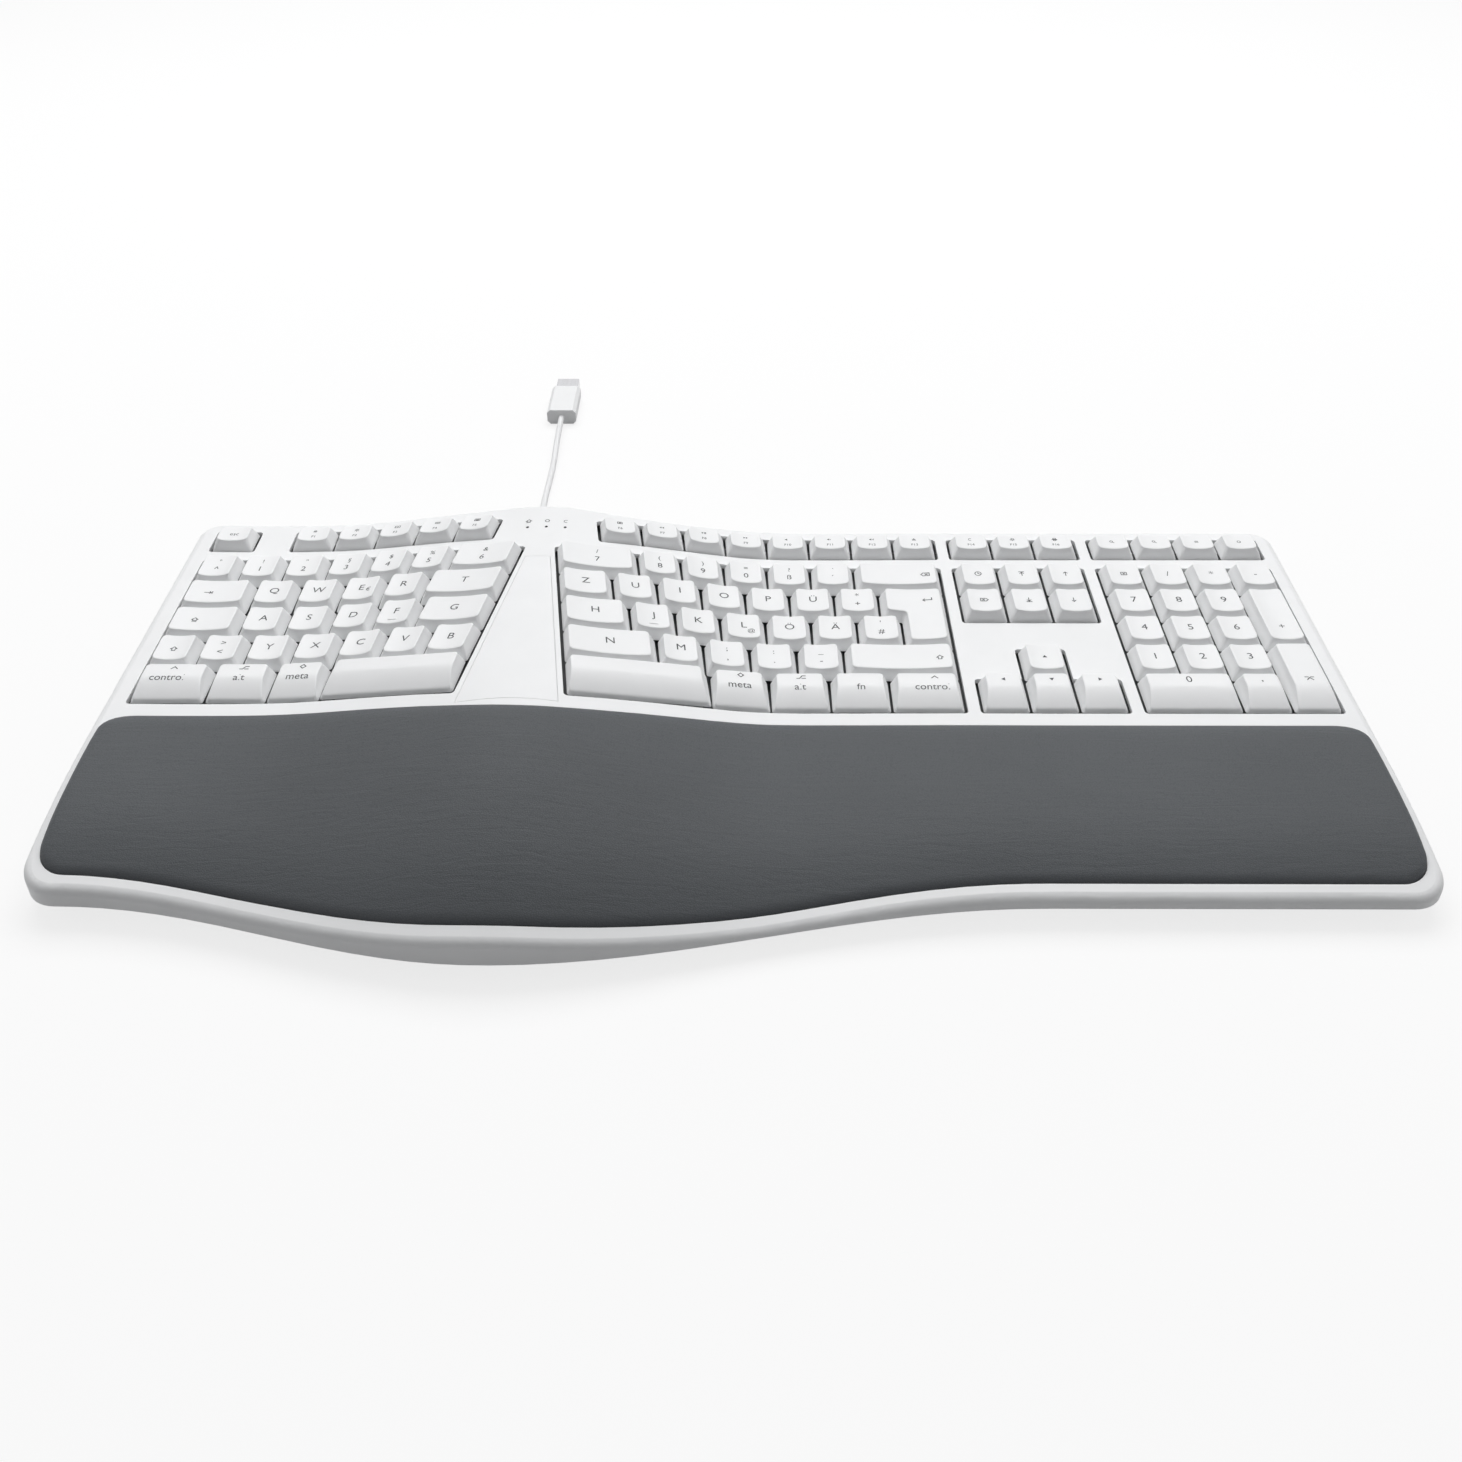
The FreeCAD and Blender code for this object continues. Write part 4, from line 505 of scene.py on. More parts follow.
add_key("key_keypad_comma", X_KEYPAD + 2 * U, X_KEYPAD + 3 * U, ROW_Y[0], U, "roll")


def place(k, a, b, height):
    c = math.cos(k.turn)
    s = math.sin(k.turn)
    dx = a * c - b * s
    dy = a * s + b * c
    return ((k.x + dx) * MM, (k.y + dy) * MM, (k.z + k.slope * dx + height) * MM)


# Height of a key's top over the deck
def top_height(k, a, b):
    if k.kind == "roll":
        start = k.d - BACK_IN - 0.42 * min(2 * k.d, U)
        if 2 * k.d > U:
            start = -k.d + 0.55 * U
        if b >= start:
            return RISE
        t = min((start - b) / (start + k.d), 1.0)
        return RISE - (RISE - 1.0) * (0.58 * t + 0.42 * t * t)
    reach = k.w - SIDE_IN
    t = min(abs(a) / reach, 1.0)
    return RISE - DISH * (1 - t * t)


def corners(k, more):
    fi = (ROLL_IN if k.kind == "roll" else FRONT_IN)
    base = (-k.w + more, k.w - more, -k.d + more, k.d - more)
    top = (-k.w + SIDE_IN + more, k.w - SIDE_IN - more, -k.d + fi + more, k.d - BACK_IN - more)
    out = []
    for left, right_side, front, back in (base, top):
        if k.notch:
            m = front + U
            step = left + k.notch
            out.append([(step, front), (right_side, front), (right_side, back), (left, back), (left, m),
                        (step, m)])
        else:
            out.append([(left, front), (right_side, front), (right_side, back), (left, back)])
    return out


def rounded(points, radius, arc=4, side=7):
    n = len(points)
    out = []
    for i in range(n):
        p = Vector(points[i])
        back = (Vector(points[i - 1]) - p).normalized()
        ahead = (Vector(points[(i + 1) % n]) - p).normalized()
        centre = p + (back + ahead) * radius
        for j in range(arc + 1):
            t = math.pi / 2 * j / arc
            out.append(centre - ahead * radius * math.cos(t) - back * radius * math.sin(t))
        begin = p + ahead * radius
        q = Vector(points[(i + 1) % n])
        end = q - ahead * radius
        for j in range(1, side + 1):
            out.append(begin.lerp(end, j / (side + 1)))
    return out


def cap_rings(k):
    # rings of points from the inner rim, down round the skirt and up to the top
    r_top = 1.5 if k.kind == "roll" else 1.9

    def ring(more, height=None, drop=0.0, share=1.0):
        base, top = corners(k, more)
        lower = rounded(base, max(0.9 - 0.4 * more, 0.3))
        upper = rounded(top, max(r_top - 0.5 * more, 0.6))
        pts = []
        for p, q in zip(lower, upper):
            f = 1.0
            for n in range(4):
                m = p.lerp(q, f)
                f = (top_height(k, m.x, m.y) + SINK) / (RISE + SINK)
            h = -SINK + (RISE + SINK) * f - drop
            if height is not None:
                h = height
            if share < 1.0:
                h = -SINK + (h + SINK) * share
            g = min((h + drop + SINK) / (RISE + SINK), f)
            m = p.lerp(q, g)
            pts.append((m.x, m.y, h))
        return pts

    return [ring(1.25, drop=1.7), ring(1.15, height=-SINK), ring(0.15, height=-SINK),
            ring(0.0, height=-SINK + 0.15), ring(0.0, share=0.5), ring(0.0, drop=0.9), ring(0.0, drop=0.55),
            ring(0.09, drop=0.26), ring(0.27, drop=0.09), ring(0.52, drop=0.02), ring(0.85)]


def cap_mesh(k, verts, faces):
    rings = cap_rings(k)
    if k.notch:
        cx = (-k.w + SIDE_IN + k.notch + k.w - SIDE_IN) / 2
        cy = (-k.d + FRONT_IN + U + k.d - BACK_IN) / 2
    else:
        cx = 0.0
        cy = 0.6 if k.kind != "roll" else 0.0
    last = rings[-1]
    for s in (0.93, 0.84, 0.73, 0.6, 0.45, 0.3, 0.15):
        pts = []
        for a, b, h in last:
            a = cx + (a - cx) * s
            b = cy + (b - cy) * s
            pts.append((a, b, top_height(k, a, b)))
        rings.append(pts)
    n = len(last)
    start = len(verts)
    for pts in rings:
        verts += [place(k, a, b, h) for a, b, h in pts]
    for i in range(len(rings) - 1):
        for j in range(n):
            m = (j + 1) % n
            low = start + i * n
            faces.append((low + j, low + m, low + n + m, low + n + j))
    verts.append(place(k, cx, cy, top_height(k, cx, cy)))
    peak = len(verts) - 1
    row0 = start + (len(rings) - 1) * n
    for j in range(n):
        faces.append((row0 + j, row0 + (j + 1) % n, peak))
    verts.append(place(k, cx, cy, RISE - 2.2))
    inner = len(verts) - 1
    for j in range(n):
        faces.append((start + (j + 1) % n, start + j, inner))


def stem(k, verts, faces):
    # the square post under a cap, down into the guide frame
    start = len(verts)
    for h in (STEM_FOOT, RISE - 1.2):
        for p, q in ((-STEM, -STEM), (STEM, -STEM), (STEM, STEM), (-STEM, STEM)):
            verts.append(place(k, k.notch / 2 + p, q, h))
    for f in ((3, 2, 1, 0), (4, 5, 6, 7), (0, 1, 5, 4), (1, 2, 6, 5), (2, 3, 7, 6), (3, 0, 4, 7)):
        faces.append(tuple(start + i for i in f))


def finger_bar(k, verts, faces):
    # small raised bar that a finger finds, rounded along its length
    start = len(verts)
    n = 10
    for i in range(n + 1):
        a = BAR_HALF * (2 * i / n - 1)
        rise = BAR_RISE * math.sqrt(max(1 - (abs(a) / BAR_HALF) ** 6, 0.0))
        base = top_height(k, a, BAR_AT)
        for q, h in ((-0.42, -0.05), (-0.25, rise * 0.8), (0.0, rise), (0.25, rise * 0.8), (0.42, -0.05)):
            verts.append(place(k, a, BAR_AT + q, base + h))
    for i in range(n):
        for j in range(4):
            p = start + i * 5 + j
            faces.append((p, p + 5, p + 6, p + 1))


# Legends: letters come from a text curve, signs from short strokes
glyphs = {}


def glyph(text):
    if text not in glyphs:
        data = bpy.data.curves.new("glyph", "FONT")
        data.body = text
        data.size = 1.0
        data.resolution_u = 3
        obj = bpy.data.objects.new("glyph", data)
        scene.collection.objects.link(obj)
        bpy.context.view_layer.update()
        mesh = bpy.data.meshes.new_from_object(obj.evaluated_get(bpy.context.evaluated_depsgraph_get()))
        pts = [(v.co.x, v.co.y) for v in mesh.vertices]
        polys = [tuple(p.vertices) for p in mesh.polygons]
        bpy.data.objects.remove(obj)
        bpy.data.curves.remove(data)
        bpy.data.meshes.remove(mesh)
        glyphs[text] = (pts, polys)
    return glyphs[text]


CAP_H = max(y for x, y in glyph("H")[0])
STROKE = 0.27
INK_RISE = 0.04


class Ink:
    # collects flat shapes and lays them on the top of a key, or on the deck where no key is set
    def __init__(self):
        self.verts = []
        self.faces = []
        self.key = None
        self.centre = (0.0, 0.0)
        self.scale = 1.0

    def point(self, x, y):
        a = self.centre[0] + x * self.scale
        b = self.centre[1] + y * self.scale
        if self.key:
            return place(self.key, a, b, top_height(self.key, a, b) + INK_RISE)
        where = nodes["top_case"].ray_cast(Vector((a * MM, b * MM, 0.1)), Vector((0, 0, -1)))[1]
        return (a * MM, b * MM, where.z + INK_RISE * MM)

    def polygon(self, pts):
        start = len(self.verts)
        self.verts += [self.point(x, y) for x, y in pts]
        self.faces.append(tuple(range(start, start + len(pts))))

    def stroke(self, pts, width=STROKE):
        for (xa, ya), (xb, yb) in zip(pts, pts[1:]):
            length = math.hypot(xb - xa, yb - ya)
            ux, uy = (xb - xa) / length, (yb - ya) / length
            px, py = -uy * width / 2, ux * width / 2
            ex, ey = ux * width / 2, uy * width / 2
            self.polygon([(xa - ex - px, ya - ey - py), (xb + ex - px, yb + ey - py),
                          (xb + ex + px, yb + ey + py), (xa - ex + px, ya - ey + py)])

    def arrow(self, pts, head):
        self.stroke(pts)
        (xa, ya), (xb, yb) = pts[-2:]
        length = math.hypot(xb - xa, yb - ya)
        ux, uy = (xb - xa) / length, (yb - ya) / length
        for s in (-1, 1):
            self.stroke([(xb, yb), (xb - ux * head - s * uy * head, yb - uy * head + s * ux * head)])

    def ring(self, x, y, r, width=STROKE, n=18, share=1.0, start=0.0):
        inner = r - width / 2
        outer = r + width / 2
        turns = [start + 2 * math.pi * share * i / n for i in range(n + 1)]
        ways = [(math.cos(t), math.sin(t)) for t in turns]
        for (ca, sa), (cb, sb) in zip(ways, ways[1:]):
            self.polygon([(x + ca * inner, y + sa * inner), (x + ca * outer, y + sa * outer),
                          (x + cb * outer, y + sb * outer), (x + cb * inner, y + sb * inner)])

    def text(self, text, a, b, height, spread=1.0):
        pts, polys = glyph(text)
        low = min(x for x, y in pts)
        high = max(x for x, y in pts)
        start = len(self.verts)
        self.centre = (a, b)
        self.scale = height / CAP_H
        for x, y in pts:
            self.verts.append(self.point((x - (low + high) / 2) * spread, y - CAP_H / 2))
        self.faces += [tuple(start + i for i in poly) for poly in polys]

    def sign(self, name, a, b, size):
        self.centre = (a, b)
        self.scale = size
        for shape, *values in SIGNS[name]:
            getattr(self, shape)(*values)


# Signs, drawn in a box from -1 to 1
def cross(x, r):
    return [("stroke", [(x - r, r), (x + r, -r)]), ("stroke", [(x - r, -r), (x + r, r)])]


def triangle(tx, ty):
    foot_x = -tx * 0.7
    foot_y = -ty * 0.7
    return [("polygon", [(tx * 0.9, ty * 0.9), (foot_x - ty, foot_y + tx), (foot_x + ty, foot_y - tx)])]


def rayed(r, far):
    shapes = [("ring", 0.0, 0.0, r, STROKE, 12)]
    for i in range(8):
        x = math.cos(math.pi / 4 * i)
        y = math.sin(math.pi / 4 * i)
        shapes.append(("stroke", [(x * (r + 0.2), y * (r + 0.2)), (x * far, y * far)], 0.16))
    return shapes


def speaker(waves):
    horn = [(-1.0, -0.25), (-0.6, -0.25), (-0.1, -0.65), (-0.1, 0.65), (-0.6, 0.25), (-1.0, 0.25)]
    arcs = [("ring", -0.1, 0.0, 0.5 + 0.4 * i, 0.18, 8, 0.22, -math.pi * 0.22) for i in range(waves)]
    return [("polygon", horn)] + arcs


def box(x0, y0, x1, y1):
    return ("stroke", [(x0, y0), (x1, y0), (x1, y1), (x0, y1), (x0, y0)])


SIGNS = {
    "tab": [("arrow", [(-1.2, 0.0), (0.9, 0.0)], 0.5), ("stroke", [(1.2, -0.5), (1.2, 0.5)])],
    "lock": [("stroke", [(-0.6, -0.3), (0.6, -0.3), (0.6, 0.2), (0.95, 0.2), (0.0, 1.0), (-0.95, 0.2),
                         (-0.6, 0.2), (-0.6, -0.3)]),
             ("stroke", [(-0.6, -0.75), (0.6, -0.75)])],
    "shift": [("stroke", [(-0.5, -0.8), (0.5, -0.8), (0.5, 0.0), (0.95, 0.0), (0.0, 0.9), (-0.95, 0.0),
                          (-0.5, 0.0), (-0.5, -0.8)])],
    "enter": [("arrow", [(1.3, 0.7), (1.3, -0.2), (-1.2, -0.2)], 0.5)],
    "backspace": [("stroke", [(-1.3, 0.0), (-0.6, 0.75), (1.3, 0.75), (1.3, -0.75), (-0.6, -0.75),
                              (-1.3, 0.0)])] + cross(0.35, 0.35),
    "delete": [("stroke", [(1.3, 0.0), (0.6, 0.7), (-1.1, 0.7), (-1.1, -0.7), (0.6, -0.7), (1.3, 0.0)])]
              + cross(-0.2, 0.3),
    "clear": [box(-1.0, -0.8, 1.0, 0.8)] + cross(0.0, 0.4),
    "up": triangle(0, 1),
    "down": triangle(0, -1),
    "left": triangle(-1, 0),
    "right": triangle(1, 0),
    "arrow_up": [("arrow", [(0.0, -1.0), (0.0, 0.9)], 0.6)],
    "arrow_down": [("arrow", [(0.0, 1.0), (0.0, -0.9)], 0.6)],
    "to_top": [("arrow", [(0.0, -1.0), (0.0, 0.7)], 0.6), ("stroke", [(-0.8, 1.0), (0.8, 1.0)])],
    "to_end": [("arrow", [(0.0, 1.0), (0.0, -0.7)], 0.6), ("stroke", [(-0.8, -1.0), (0.8, -1.0)])],
    "clock": [("ring", 0.0, 0.0, 1.0), ("stroke", [(0.0, 0.5), (0.0, 0.0), (0.5, -0.2)])],
    "chevron": [("stroke", [(-0.8, -0.4), (0.0, 0.4), (0.8, -0.4)])],
    "choice": [("stroke", [(-1.1, -0.5), (-0.4, -0.5), (0.3, 0.5), (1.1, 0.5)]),
               ("stroke", [(0.2, -0.5), (1.1, -0.5)])],
    "diamond": [("stroke", [(0.0, -0.75), (0.75, 0.0), (0.0, 0.75), (-0.75, 0.0), (0.0, -0.75)])],
    "pad_enter": [("stroke", [(-0.8, -0.5), (0.0, 0.3), (0.8, -0.5)]), ("stroke", [(-1.1, 0.6), (-0.3, 0.6)]),
                  ("stroke", [(0.3, 0.6), (1.1, 0.6)])],
    "dim": rayed(0.35, 0.75),
    "sun": rayed(0.5, 1.0),
    "windows": [box(-1.0, -0.6, 0.2, 0.5), ("stroke", [(0.6, -0.6), (1.1, -0.6), (1.1, 0.5), (0.6, 0.5)])],
    "grid": [("stroke", [(-0.9 + 0.8 * i, -0.4 + 0.7 * j), (-0.5 + 0.8 * i, -0.4 + 0.7 * j)], 0.34)
             for i in range(3) for j in range(2)],
    "search": [("ring", -0.15, 0.2, 0.6, STROKE, 14), ("stroke", [(0.3, -0.25), (0.85, -0.8)], 0.26)],
    "keys": [box(-1.1, -0.6, 1.1, 0.6), ("stroke", [(-0.6, 0.15), (0.6, 0.15)]),
             ("stroke", [(-0.4, -0.25), (0.4, -0.25)])],
    "back": [("polygon", [(x - 0.8, 0.0), (x, 0.55), (x, -0.55)]) for x in (-0.2, 0.8)],
    "next": [("polygon", [(x + 0.8, 0.0), (x, -0.55), (x, 0.55)]) for x in (0.2, -0.8)],
    "play": [("polygon", [(0.1, 0.0), (-0.8, -0.55), (-0.8, 0.55)]), ("stroke", [(0.4, -0.5), (0.4, 0.5)]),
             ("stroke", [(0.8, -0.5), (0.8, 0.5)])],
    "mute": speaker(0),
    "quiet": speaker(1),
    "loud": speaker(2),
    "eject": [("polygon", [(-0.8, -0.1), (0.8, -0.1), (0.0, 0.75)]),
              ("stroke", [(-0.7, -0.55), (0.7, -0.55)], 0.26)],
    "camera": [box(-0.9, -0.6, 0.9, 0.5), ("ring", 0.0, -0.05, 0.3, STROKE, 10)],
    "print": [("stroke", [(-0.5, 0.2), (-0.5, 0.9), (0.5, 0.9), (0.5, 0.2)]),
              ("stroke", [(-0.85, 0.0), (0.85, 0.0)], 0.5),
              ("stroke", [(-0.5, -0.45), (-0.5, -0.8), (0.5, -0.8), (0.5, -0.45)])],
    "circle": [("ring", 0.0, 0.0, 0.7)],
    "bars": [("stroke", [(-0.7, y), (0.7, y)], 0.22) for y in (-0.5, 0.0, 0.5)],
    "moon": [("ring", 0.0, 0.0, 0.7, 0.22, 14, 0.7, 0.9)],
}

# What each key shows, in the order in which its group was walked
# A name that starts with @ is a sign. Of two characters, the first is the lower one
LETTERS = {
    "keys_upper_left": ["@tab", "Q", "W", "E", "R", "T"],
    "keys_upper_right": ["+*", "Ü", "P", "O", "I", "U", "Z"],
    "keys_home_left": ["@lock", "A", "S", "D", "F", "G"],
    "keys_home_right": ["#'", "Ä", "Ö", "L", "K", "J", "H"],
    "keys_lower_left": ["@shift", "<>", "Y", "X", "C", "V", "B"],
    "keys_lower_right": ["-_", ".:", ",;", "M", "N"],
    "keys_keypad_789": ["7", "8", "9"],
    "keys_keypad_456": ["4", "5", "6"],
    "keys_keypad_123": ["1", "2", "3"],
}
NUMBERS = {
    "keys_number_left": ["^°", "1!", '2"', "3§", "4$", "5%", "6&"],
    "keys_number_right": ["´`", "ß?", "0=", "9)", "8(", "7/"],
}
# heights of the characters in millimetres
LETTER_SIZE, DIGIT_SIZE, LOWER_SIZE, UPPER_SIZE, SMALL_SIZE = 3.5, 3.1, 3.0, 2.8, 2.5
WORD_SIZE, LABEL_SIZE = 2.8, 1.5
LETTER_SIGN_X = {"@tab": -3.2, "@lock": -3.4, "@shift": 0.0}
THIRD_MARK = {"E": ("€", 3.4, -0.8, 2.3), "L": ("@", 3.0, -2.6, 2.2)}
NAVIGATION = {
    "keys_navigation_upper": ["@clock", "@to_top", "@arrow_up"],
    "keys_navigation_lower": ["@delete", "@to_end", "@arrow_down"],
}
FUNCTIONS = {
    "keys_f1_to_f5": ["F1 dim", "F2 sun", "F3 windows", "F4 grid", "F5 keys"],
    "keys_f6_to_f13": ["F13 eject", "F12 loud", "F11 quiet", "F10 mute", "F9 next", "F8 play", "F7 back",
                       "F6 camera"],
    "keys_f14_to_f16": ["F14 moon", "F15 sun", "F16 print"],
}
WORDS = {
    "keys_bottom_left": [("control", "chevron", -1.6), ("alt", "choice", 0.0), ("meta", "diamond", 0.3)],
    "keys_bottom_right": [("control", "chevron", 1.8), ("fn", None, 0.0), ("alt", "choice", 0.0),
                          ("meta", "diamond", 0.0)],
}
SIGN_SIDE = {"chevron": 1.4, "choice": 0.6, "diamond": 0.6}
# the other keys: what is shown, its place from the key's middle or its right and back edges, and its height
OTHERS = {
    "key_escape": [("esc", 0, 0, 0.0, 0.4, 2.2)],
    "key_backspace": [("@backspace", 1, 0, -7.0, -0.6, 1.4)],
    "key_enter": [("@enter", 1, 1, -8.0, -8.6, 1.5)],
    "key_shift_right": [("@shift", 1, 0, -7.0, -0.6, 1.35)],
    "key_arrow_up": [("@up", 0, 0, 0.0, 0.6, 0.95)],
    "keys_arrows_lower": [(name, 0, 0, 0.0, 4.4, 0.95) for name in ("@left", "@down", "@right")],
    "keys_keypad_function": [(name, 0, 0, 0.0, 0.6, 1.05)
                             for name in ("@search", "@search", "@bars", "@circle")],
    "keys_keypad_operators": [("@clear", 0, 0, 0.0, 0.6, 1.2)]
                             + [(name, 0, 0, 0.0, 0.6, 3.3) for name in "/*-"],
    "key_keypad_plus": [("+", 0, 0, 0.0, -8.0, 3.3)],
    "key_keypad_enter": [("@pad_enter", 0, 0, 0.0, -4.6, 1.5)],
    "key_keypad_zero": [("0", 0, 0, 0.0, 4.4, LETTER_SIZE)],
    "key_keypad_comma": [(",", 0, 0, 0.0, 5.0, LETTER_SIZE)],
}


def show(ink, what, a, b, size):
    if len(what) > 1 and what[0] == "@":
        ink.sign(what[1:], a, b, size)
    else:
        ink.text(what, a, b, size)


def letter(ink, code):
    if code in LETTER_SIGN_X:
        show(ink, code, LETTER_SIGN_X[code], -0.4, 1.35)
    elif len(code) == 2:
        ink.text(code[0], 0.0, -2.1, LOWER_SIZE)
        ink.text(code[1], 0.0, 3.5, UPPER_SIZE)
    else:
        ink.text(code, 0.2, 1.0, LETTER_SIZE, 1.06)
        if code in THIRD_MARK:
            ink.text(*THIRD_MARK[code])


def word(ink, text, sign, a):
    ink.text(text, a, 0.1, WORD_SIZE, 1.14)
    if sign:
        ink.sign(sign, a + SIGN_SIDE[sign], 5.6, 1.5)


def legends(group, members):
    ink = Ink()
    for i, k in enumerate(members):
        ink.key = k
        if group in LETTERS:
            letter(ink, LETTERS[group][i])
        elif group in NUMBERS:
            ink.text(NUMBERS[group][i][0], 0.0, -1.9, DIGIT_SIZE)
            ink.text(NUMBERS[group][i][1], 0.2, 3.5, SMALL_SIZE)
        elif group in NAVIGATION:
            show(ink, NAVIGATION[group][i], 0.0, 0.6, 1.35)
        elif group in FUNCTIONS:
            label, sign = FUNCTIONS[group][i].split()
            ink.sign(sign, 0.0, 2.4, 1.1)
            ink.text(label, 0.0, -1.6, LABEL_SIZE)
        elif group in WORDS:
            word(ink, *WORDS[group][i])
        elif group in OTHERS:
            what, right_side, back, a, b, size = OTHERS[group][i]
            show(ink, what, right_side * k.w + a, back * k.d + b, size)
    return ink


def dress_keys(group, members):
    verts = []
    faces = []
    for k in members:
        cap_mesh(k, verts, faces)
        stem(k, verts, faces)
    if group in FINGER_KEY:
        finger_bar(members[FINGER_KEY[group]], verts, faces)
    shell = len(faces)
    ink = legends(group, members)
    start = len(verts)
    verts += ink.verts
    faces += [tuple(start + i for i in f) for f in ink.faces]
    indices = [0] * shell + [1] * (len(faces) - shell)
    caps = new_object("caps_" + group, verts, faces, [MATERIALS["key_white"], legend_ink], indices)
    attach(caps, group)
    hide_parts(group)


groups = {}
for k in keys:
    groups.setdefault(k.group, []).append(k)
for group, members in groups.items():
    dress_keys(group, members)

# Signs above the three lamps
LAMP_PITCH = 8.3
LAMP_SIGN_Y = 99.1
ink = Ink()
for i, name in enumerate(("lock", "circle", "moon")):
    ink.sign(name, HUMP - 1.0 + (i - 1) * LAMP_PITCH, LAMP_SIGN_Y, 1.3)
signs = new_object("lamp_signs", ink.verts, ink.faces, [legend_ink], smooth=False)
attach(signs, "case")

# Palm rest: one crowned leather pad, rolled down at its rim
PAD_SIDE = 5.0
PAD_FRONT = 6.0
PAD_BACK = -14.3
PAD_L = -HALF + PAD_SIDE
PAD_R = HALF - PAD_SIDE
CORNER = 11.0
CROWN = 1.2
ROLL_DEPTH = 2.0
FRONT_ROLL, BACK_ROLL = 26.0, 10.0
RIM_RADIUS, RIM_SHARE = 2.6, 0.85
PAD_UNDER = 2.25
PAD_COLUMNS, END_COLUMNS, PAD_ROWS = 120, 14, 44


def pad_front(x):
    return front_line(x) + PAD_FRONT


def pad_back(x):
    return PAD_BACK + bend(x)


def pad_span(x):
    low = pad_front(min(max(x, PAD_L + CORNER), PAD_R - CORNER))
    high = pad_back(min(max(x, PAD_L + CORNER), PAD_R - CORNER))
    t = max(PAD_L + CORNER - x, x - PAD_R + CORNER, 0.0)
    cut = CORNER - math.sqrt(max(CORNER * CORNER - t * t, 0.0))
    return low + cut, high - cut


def rim_distance(x, y):
    t = max(PAD_L + CORNER - x, x - PAD_R + CORNER, 0.0)
    clamped = min(max(x, PAD_L + CORNER), PAD_R - CORNER)
    low = pad_front(clamped)
    high = pad_back(clamped)
    tilt_low = math.cos(math.atan((pad_front(clamped + 1) - pad_front(clamped - 1)) / 2))
    tilt_high = math.cos(math.atan((pad_back(clamped + 1) - pad_back(clamped - 1)) / 2))
    side = min(x - PAD_L, PAD_R - x)
    best = min((y - low) * tilt_low, (high - y) * tilt_high)
    if t > 0:
        for edge in (low + CORNER, high - CORNER):
            s = edge - y if edge < (low + high) / 2 else y - edge
            if s > 0:
                return max(CORNER - math.hypot(t, s), 0.0)
        return max(side, 0.0)
    return max(min(best, side), 0.0)


def pad_softness(x, y):
    # the slight unevenness of padded leather
    broad = noise.noise(Vector((x * 0.022, y * 0.035, 3.0)))
    fine = noise.noise(Vector((x * 0.06, y * 0.12, 9.0)))
    return broad * 0.16 + fine * 0.05


def pad_height(x, y):
    ya = pad_front(x)
    yb = pad_back(x)
    t = min(abs((2 * y - ya - yb) / (yb - ya)), 1.05)
    front = max(1 - (y - ya) / FRONT_ROLL, 0.0)
    back = max(1 - (yb - y) / BACK_ROLL, 0.0)
    z = deck(x, y) + 1.0 + CROWN * (1 - t ** 4) + ROLL_DEPTH * (1 - front ** 2 - back ** 2)
    e = rim_distance(x, y)
    if e < RIM_RADIUS:
        z -= (RIM_RADIUS - math.sqrt(RIM_RADIUS ** 2 - (RIM_RADIUS - e) ** 2)) * RIM_SHARE
    return z + pad_softness(x, y) * min(e / 8.0, 1.0) - 0.08


def eased(n, edge):
    # positions from 0 to 1, close together near both ends
    out = []
    for i in range(n + 1):
        t = i / n
        out.append(t + edge * (0.5 * (1 - math.cos(math.pi * t)) - t))
    return out


def pad_columns():
    corner = CORNER * 1.5
    xs = [PAD_L + corner * (1 - math.cos(math.pi / 2 * t)) for t in eased(END_COLUMNS, 1.0)]
    width = PAD_R - PAD_L - corner * 2
    mid = [PAD_L + corner + width * i / PAD_COLUMNS for i in range(1, PAD_COLUMNS)]
    return xs + mid + [PAD_L + PAD_R - x for x in reversed(xs)]


def build_pad():
    xs = pad_columns()
    rows = eased(PAD_ROWS, 0.82)
    m = len(rows)
    n = len(xs)
    verts = []
    faces = []
    for x in xs:
        low, high = pad_span(x)
        for t in rows:
            y = low + (high - low) * t
            verts.append((x * MM, y * MM, pad_height(x, y) * MM))
    for i in range(n - 1):
        for j in range(m - 1):
            p = i * m + j
            faces.append((p, p + m, p + m + 1, p + 1))
    rim = list(range(m)) + [i * m + m - 1 for i in range(1, n)]
    rim += [(n - 1) * m + j for j in range(m - 2, -1, -1)] + [i * m for i in range(n - 2, 0, -1)]
    previous = rim
    for depth in (0.8, 2.4):
        ring = []
        for index in rim:
            x, y, z = verts[index]
            verts.append((x, y, z - depth * MM))
            ring.append(len(verts) - 1)
        for a in range(len(rim)):
            b = (a + 1) % len(rim)
            faces.append((previous[a], previous[b], ring[b], ring[a]))
        previous = ring
    # the underside follows the deck, a little below it
    below = {index: ring[i] for i, index in enumerate(rim)}
    for index in range(n * m):
        if index not in below:
            x, y, z = verts[index]
            verts.append((x, y, (deck(x / MM, y / MM) - PAD_UNDER) * MM))
            below[index] = len(verts) - 1
    for i in range(n - 1):
        for j in range(m - 1):
            p = i * m + j
            faces.append((below[p + 1], below[p + m + 1], below[p + m], below[p]))
    return verts, faces


pad_verts, pad_faces = build_pad()
pad = new_object("palm_pad", pad_verts, pad_faces, [MATERIALS["palm_leather"]], angle=60.0)
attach(pad, "case")
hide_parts("palm_rest_cover", "palm_rest_foam")

# Floor, world and lamps
FLOOR_SEEN, FLOOR_GLOW, FLOOR_UNSEEN = 0.22, 0.77, 0.52
BACKGROUND = 0.955
FLOOR_HALF = 6.0


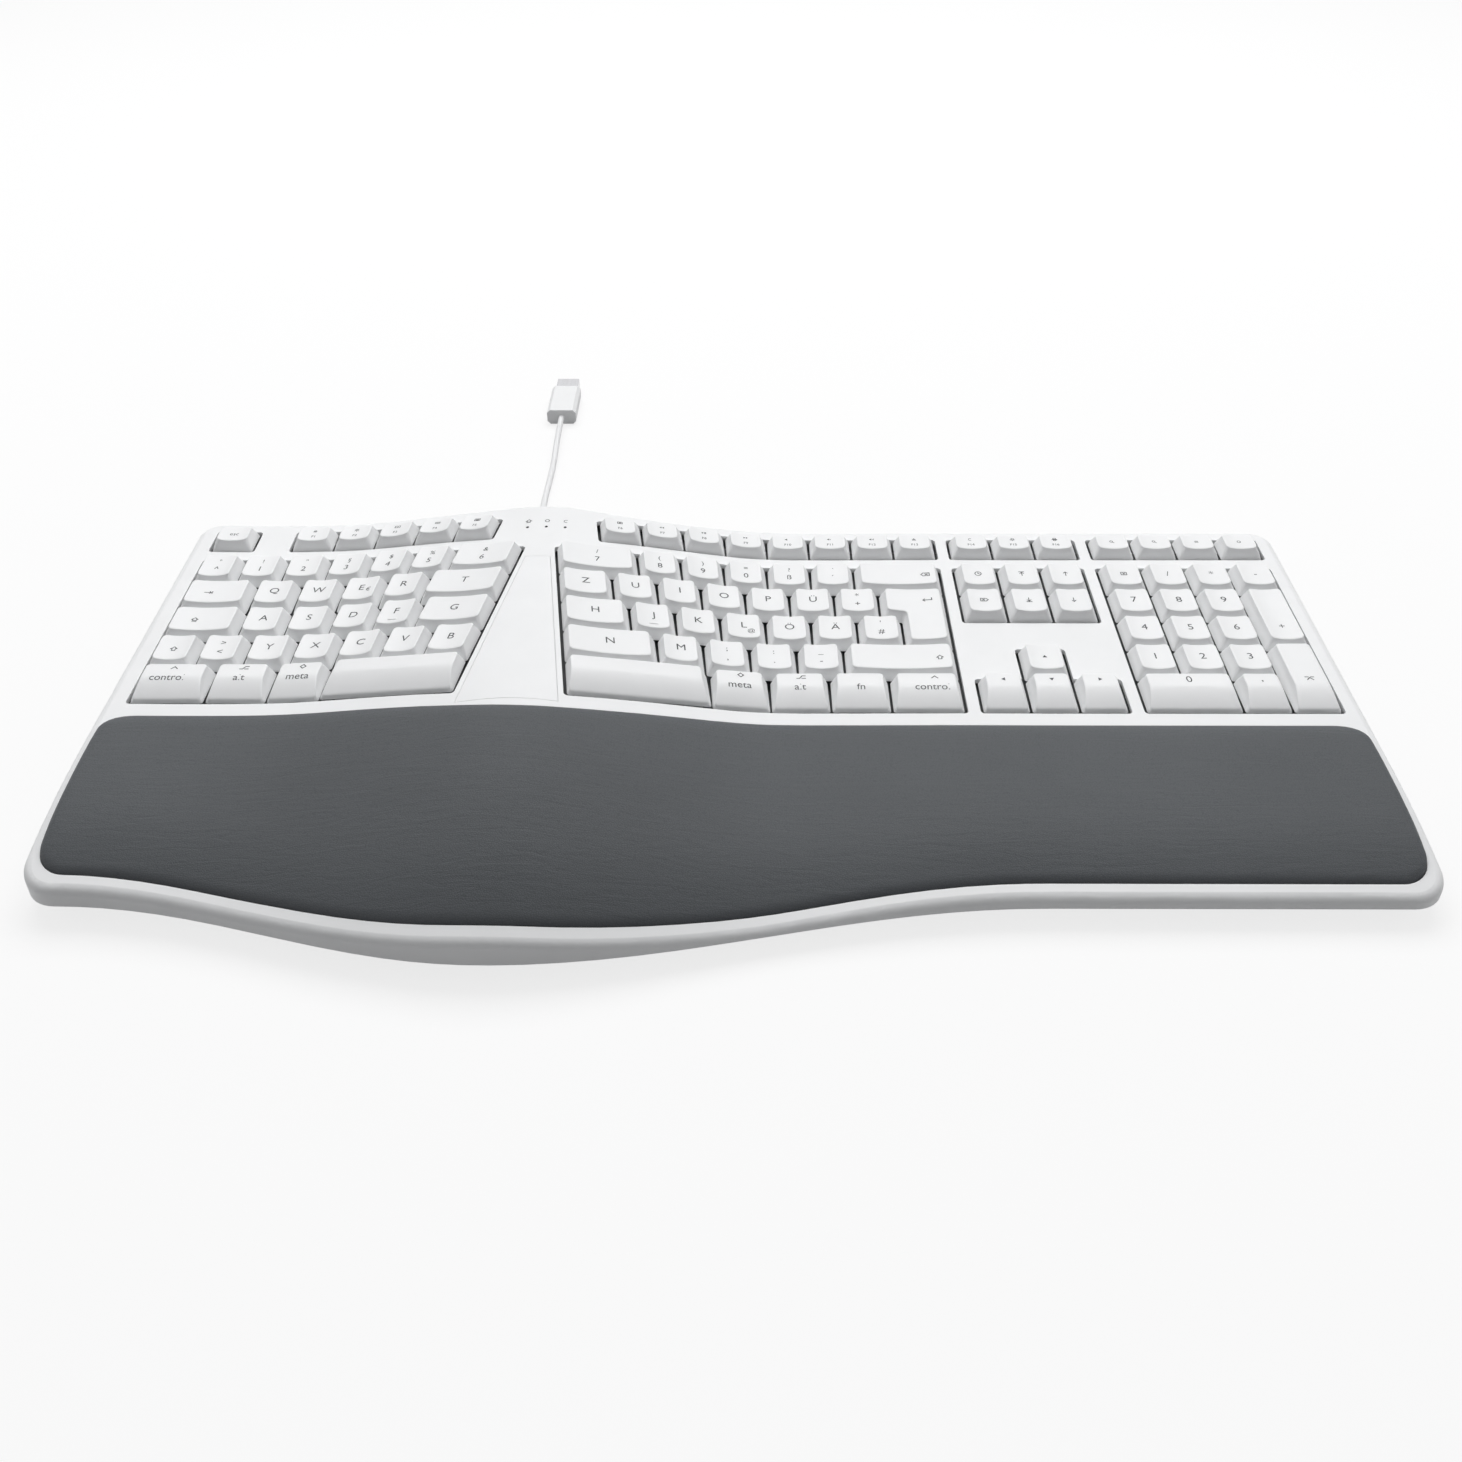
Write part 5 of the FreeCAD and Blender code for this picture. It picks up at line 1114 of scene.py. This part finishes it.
def shown_ray(nt):
    # 1 on the rays that show the surface, direct, reflected or through something clear
    path = nt.nodes.new("ShaderNodeLightPath")
    first = nt.nodes.new("ShaderNodeMath")
    first.operation = "MAXIMUM"
    second = nt.nodes.new("ShaderNodeMath")
    second.operation = "MAXIMUM"
    nt.links.new(path.outputs["Is Camera Ray"], first.inputs[0])
    nt.links.new(path.outputs["Is Glossy Ray"], first.inputs[1])
    nt.links.new(first.outputs["Value"], second.inputs[0])
    nt.links.new(path.outputs["Is Transmission Ray"], second.inputs[1])
    return second.outputs["Value"]


def shader_node(nt, kind, colour, strength=None):
    node = nt.nodes.new(kind)
    node.inputs["Color"].default_value = (*colour, 1.0)
    if strength is not None:
        node.inputs["Strength"].default_value = strength
    return node.outputs[0]


def show_or_light(nt, shown, hidden, out):
    mix = nt.nodes.new("ShaderNodeMixShader")
    nt.links.new(shown_ray(nt), mix.inputs["Fac"])
    nt.links.new(hidden, mix.inputs[1])
    nt.links.new(shown, mix.inputs[2])
    nt.links.new(mix.outputs["Shader"], nt.nodes.new(out).inputs["Surface"])


def floor_material():
    m = bpy.data.materials.new("floor_white")
    m.use_nodes = True
    nt = m.node_tree
    nt.nodes.clear()
    both = nt.nodes.new("ShaderNodeAddShader")
    nt.links.new(shader_node(nt, "ShaderNodeBsdfDiffuse", [FLOOR_SEEN] * 3), both.inputs[0])
    nt.links.new(shader_node(nt, "ShaderNodeEmission", [1.0] * 3, FLOOR_GLOW), both.inputs[1])
    unseen = shader_node(nt, "ShaderNodeBsdfDiffuse", [FLOOR_UNSEEN] * 3)
    show_or_light(nt, both.outputs["Shader"], unseen, "ShaderNodeOutputMaterial")
    return m


def studio_world():
    world = bpy.data.worlds.new("studio")
    world.use_nodes = True
    nt = world.node_tree
    nt.nodes.clear()
    ambient = shader_node(nt, "ShaderNodeBackground", (0.97, 0.98, 1.0), 0.20)
    white = shader_node(nt, "ShaderNodeBackground", [BACKGROUND] * 3, 1.0)
    show_or_light(nt, white, ambient, "ShaderNodeOutputWorld")
    scene.world = world


square = [(-FLOOR_HALF, -FLOOR_HALF, 0), (FLOOR_HALF, -FLOOR_HALF, 0), (FLOOR_HALF, FLOOR_HALF, 0),
          (-FLOOR_HALF, FLOOR_HALF, 0)]
floor = new_object("floor", square, [(0, 1, 2, 3)], [floor_material()], smooth=False)
studio_world()


def lamp(name, place_at, width, height, power):
    # a rectangular lamp that looks at the keyboard's middle
    data = bpy.data.lights.new(name, "AREA")
    data.shape = "RECTANGLE"
    data.size = width
    data.size_y = height
    data.energy = power
    obj = bpy.data.objects.new(name, data)
    obj.location = place_at
    obj.rotation_euler = (-Vector(place_at)).to_track_quat("-Z", "Y").to_euler()
    scene.collection.objects.link(obj)


lamp("lamp_top", (0.0, 1.0, 1.6), 2.2, 1.2, 32.0)
lamp("lamp_left", (-1.4, 0.1, 0.9), 0.9, 0.9, 2.6)
lamp("lamp_right", (1.4, 0.1, 0.9), 0.9, 0.9, 3.0)
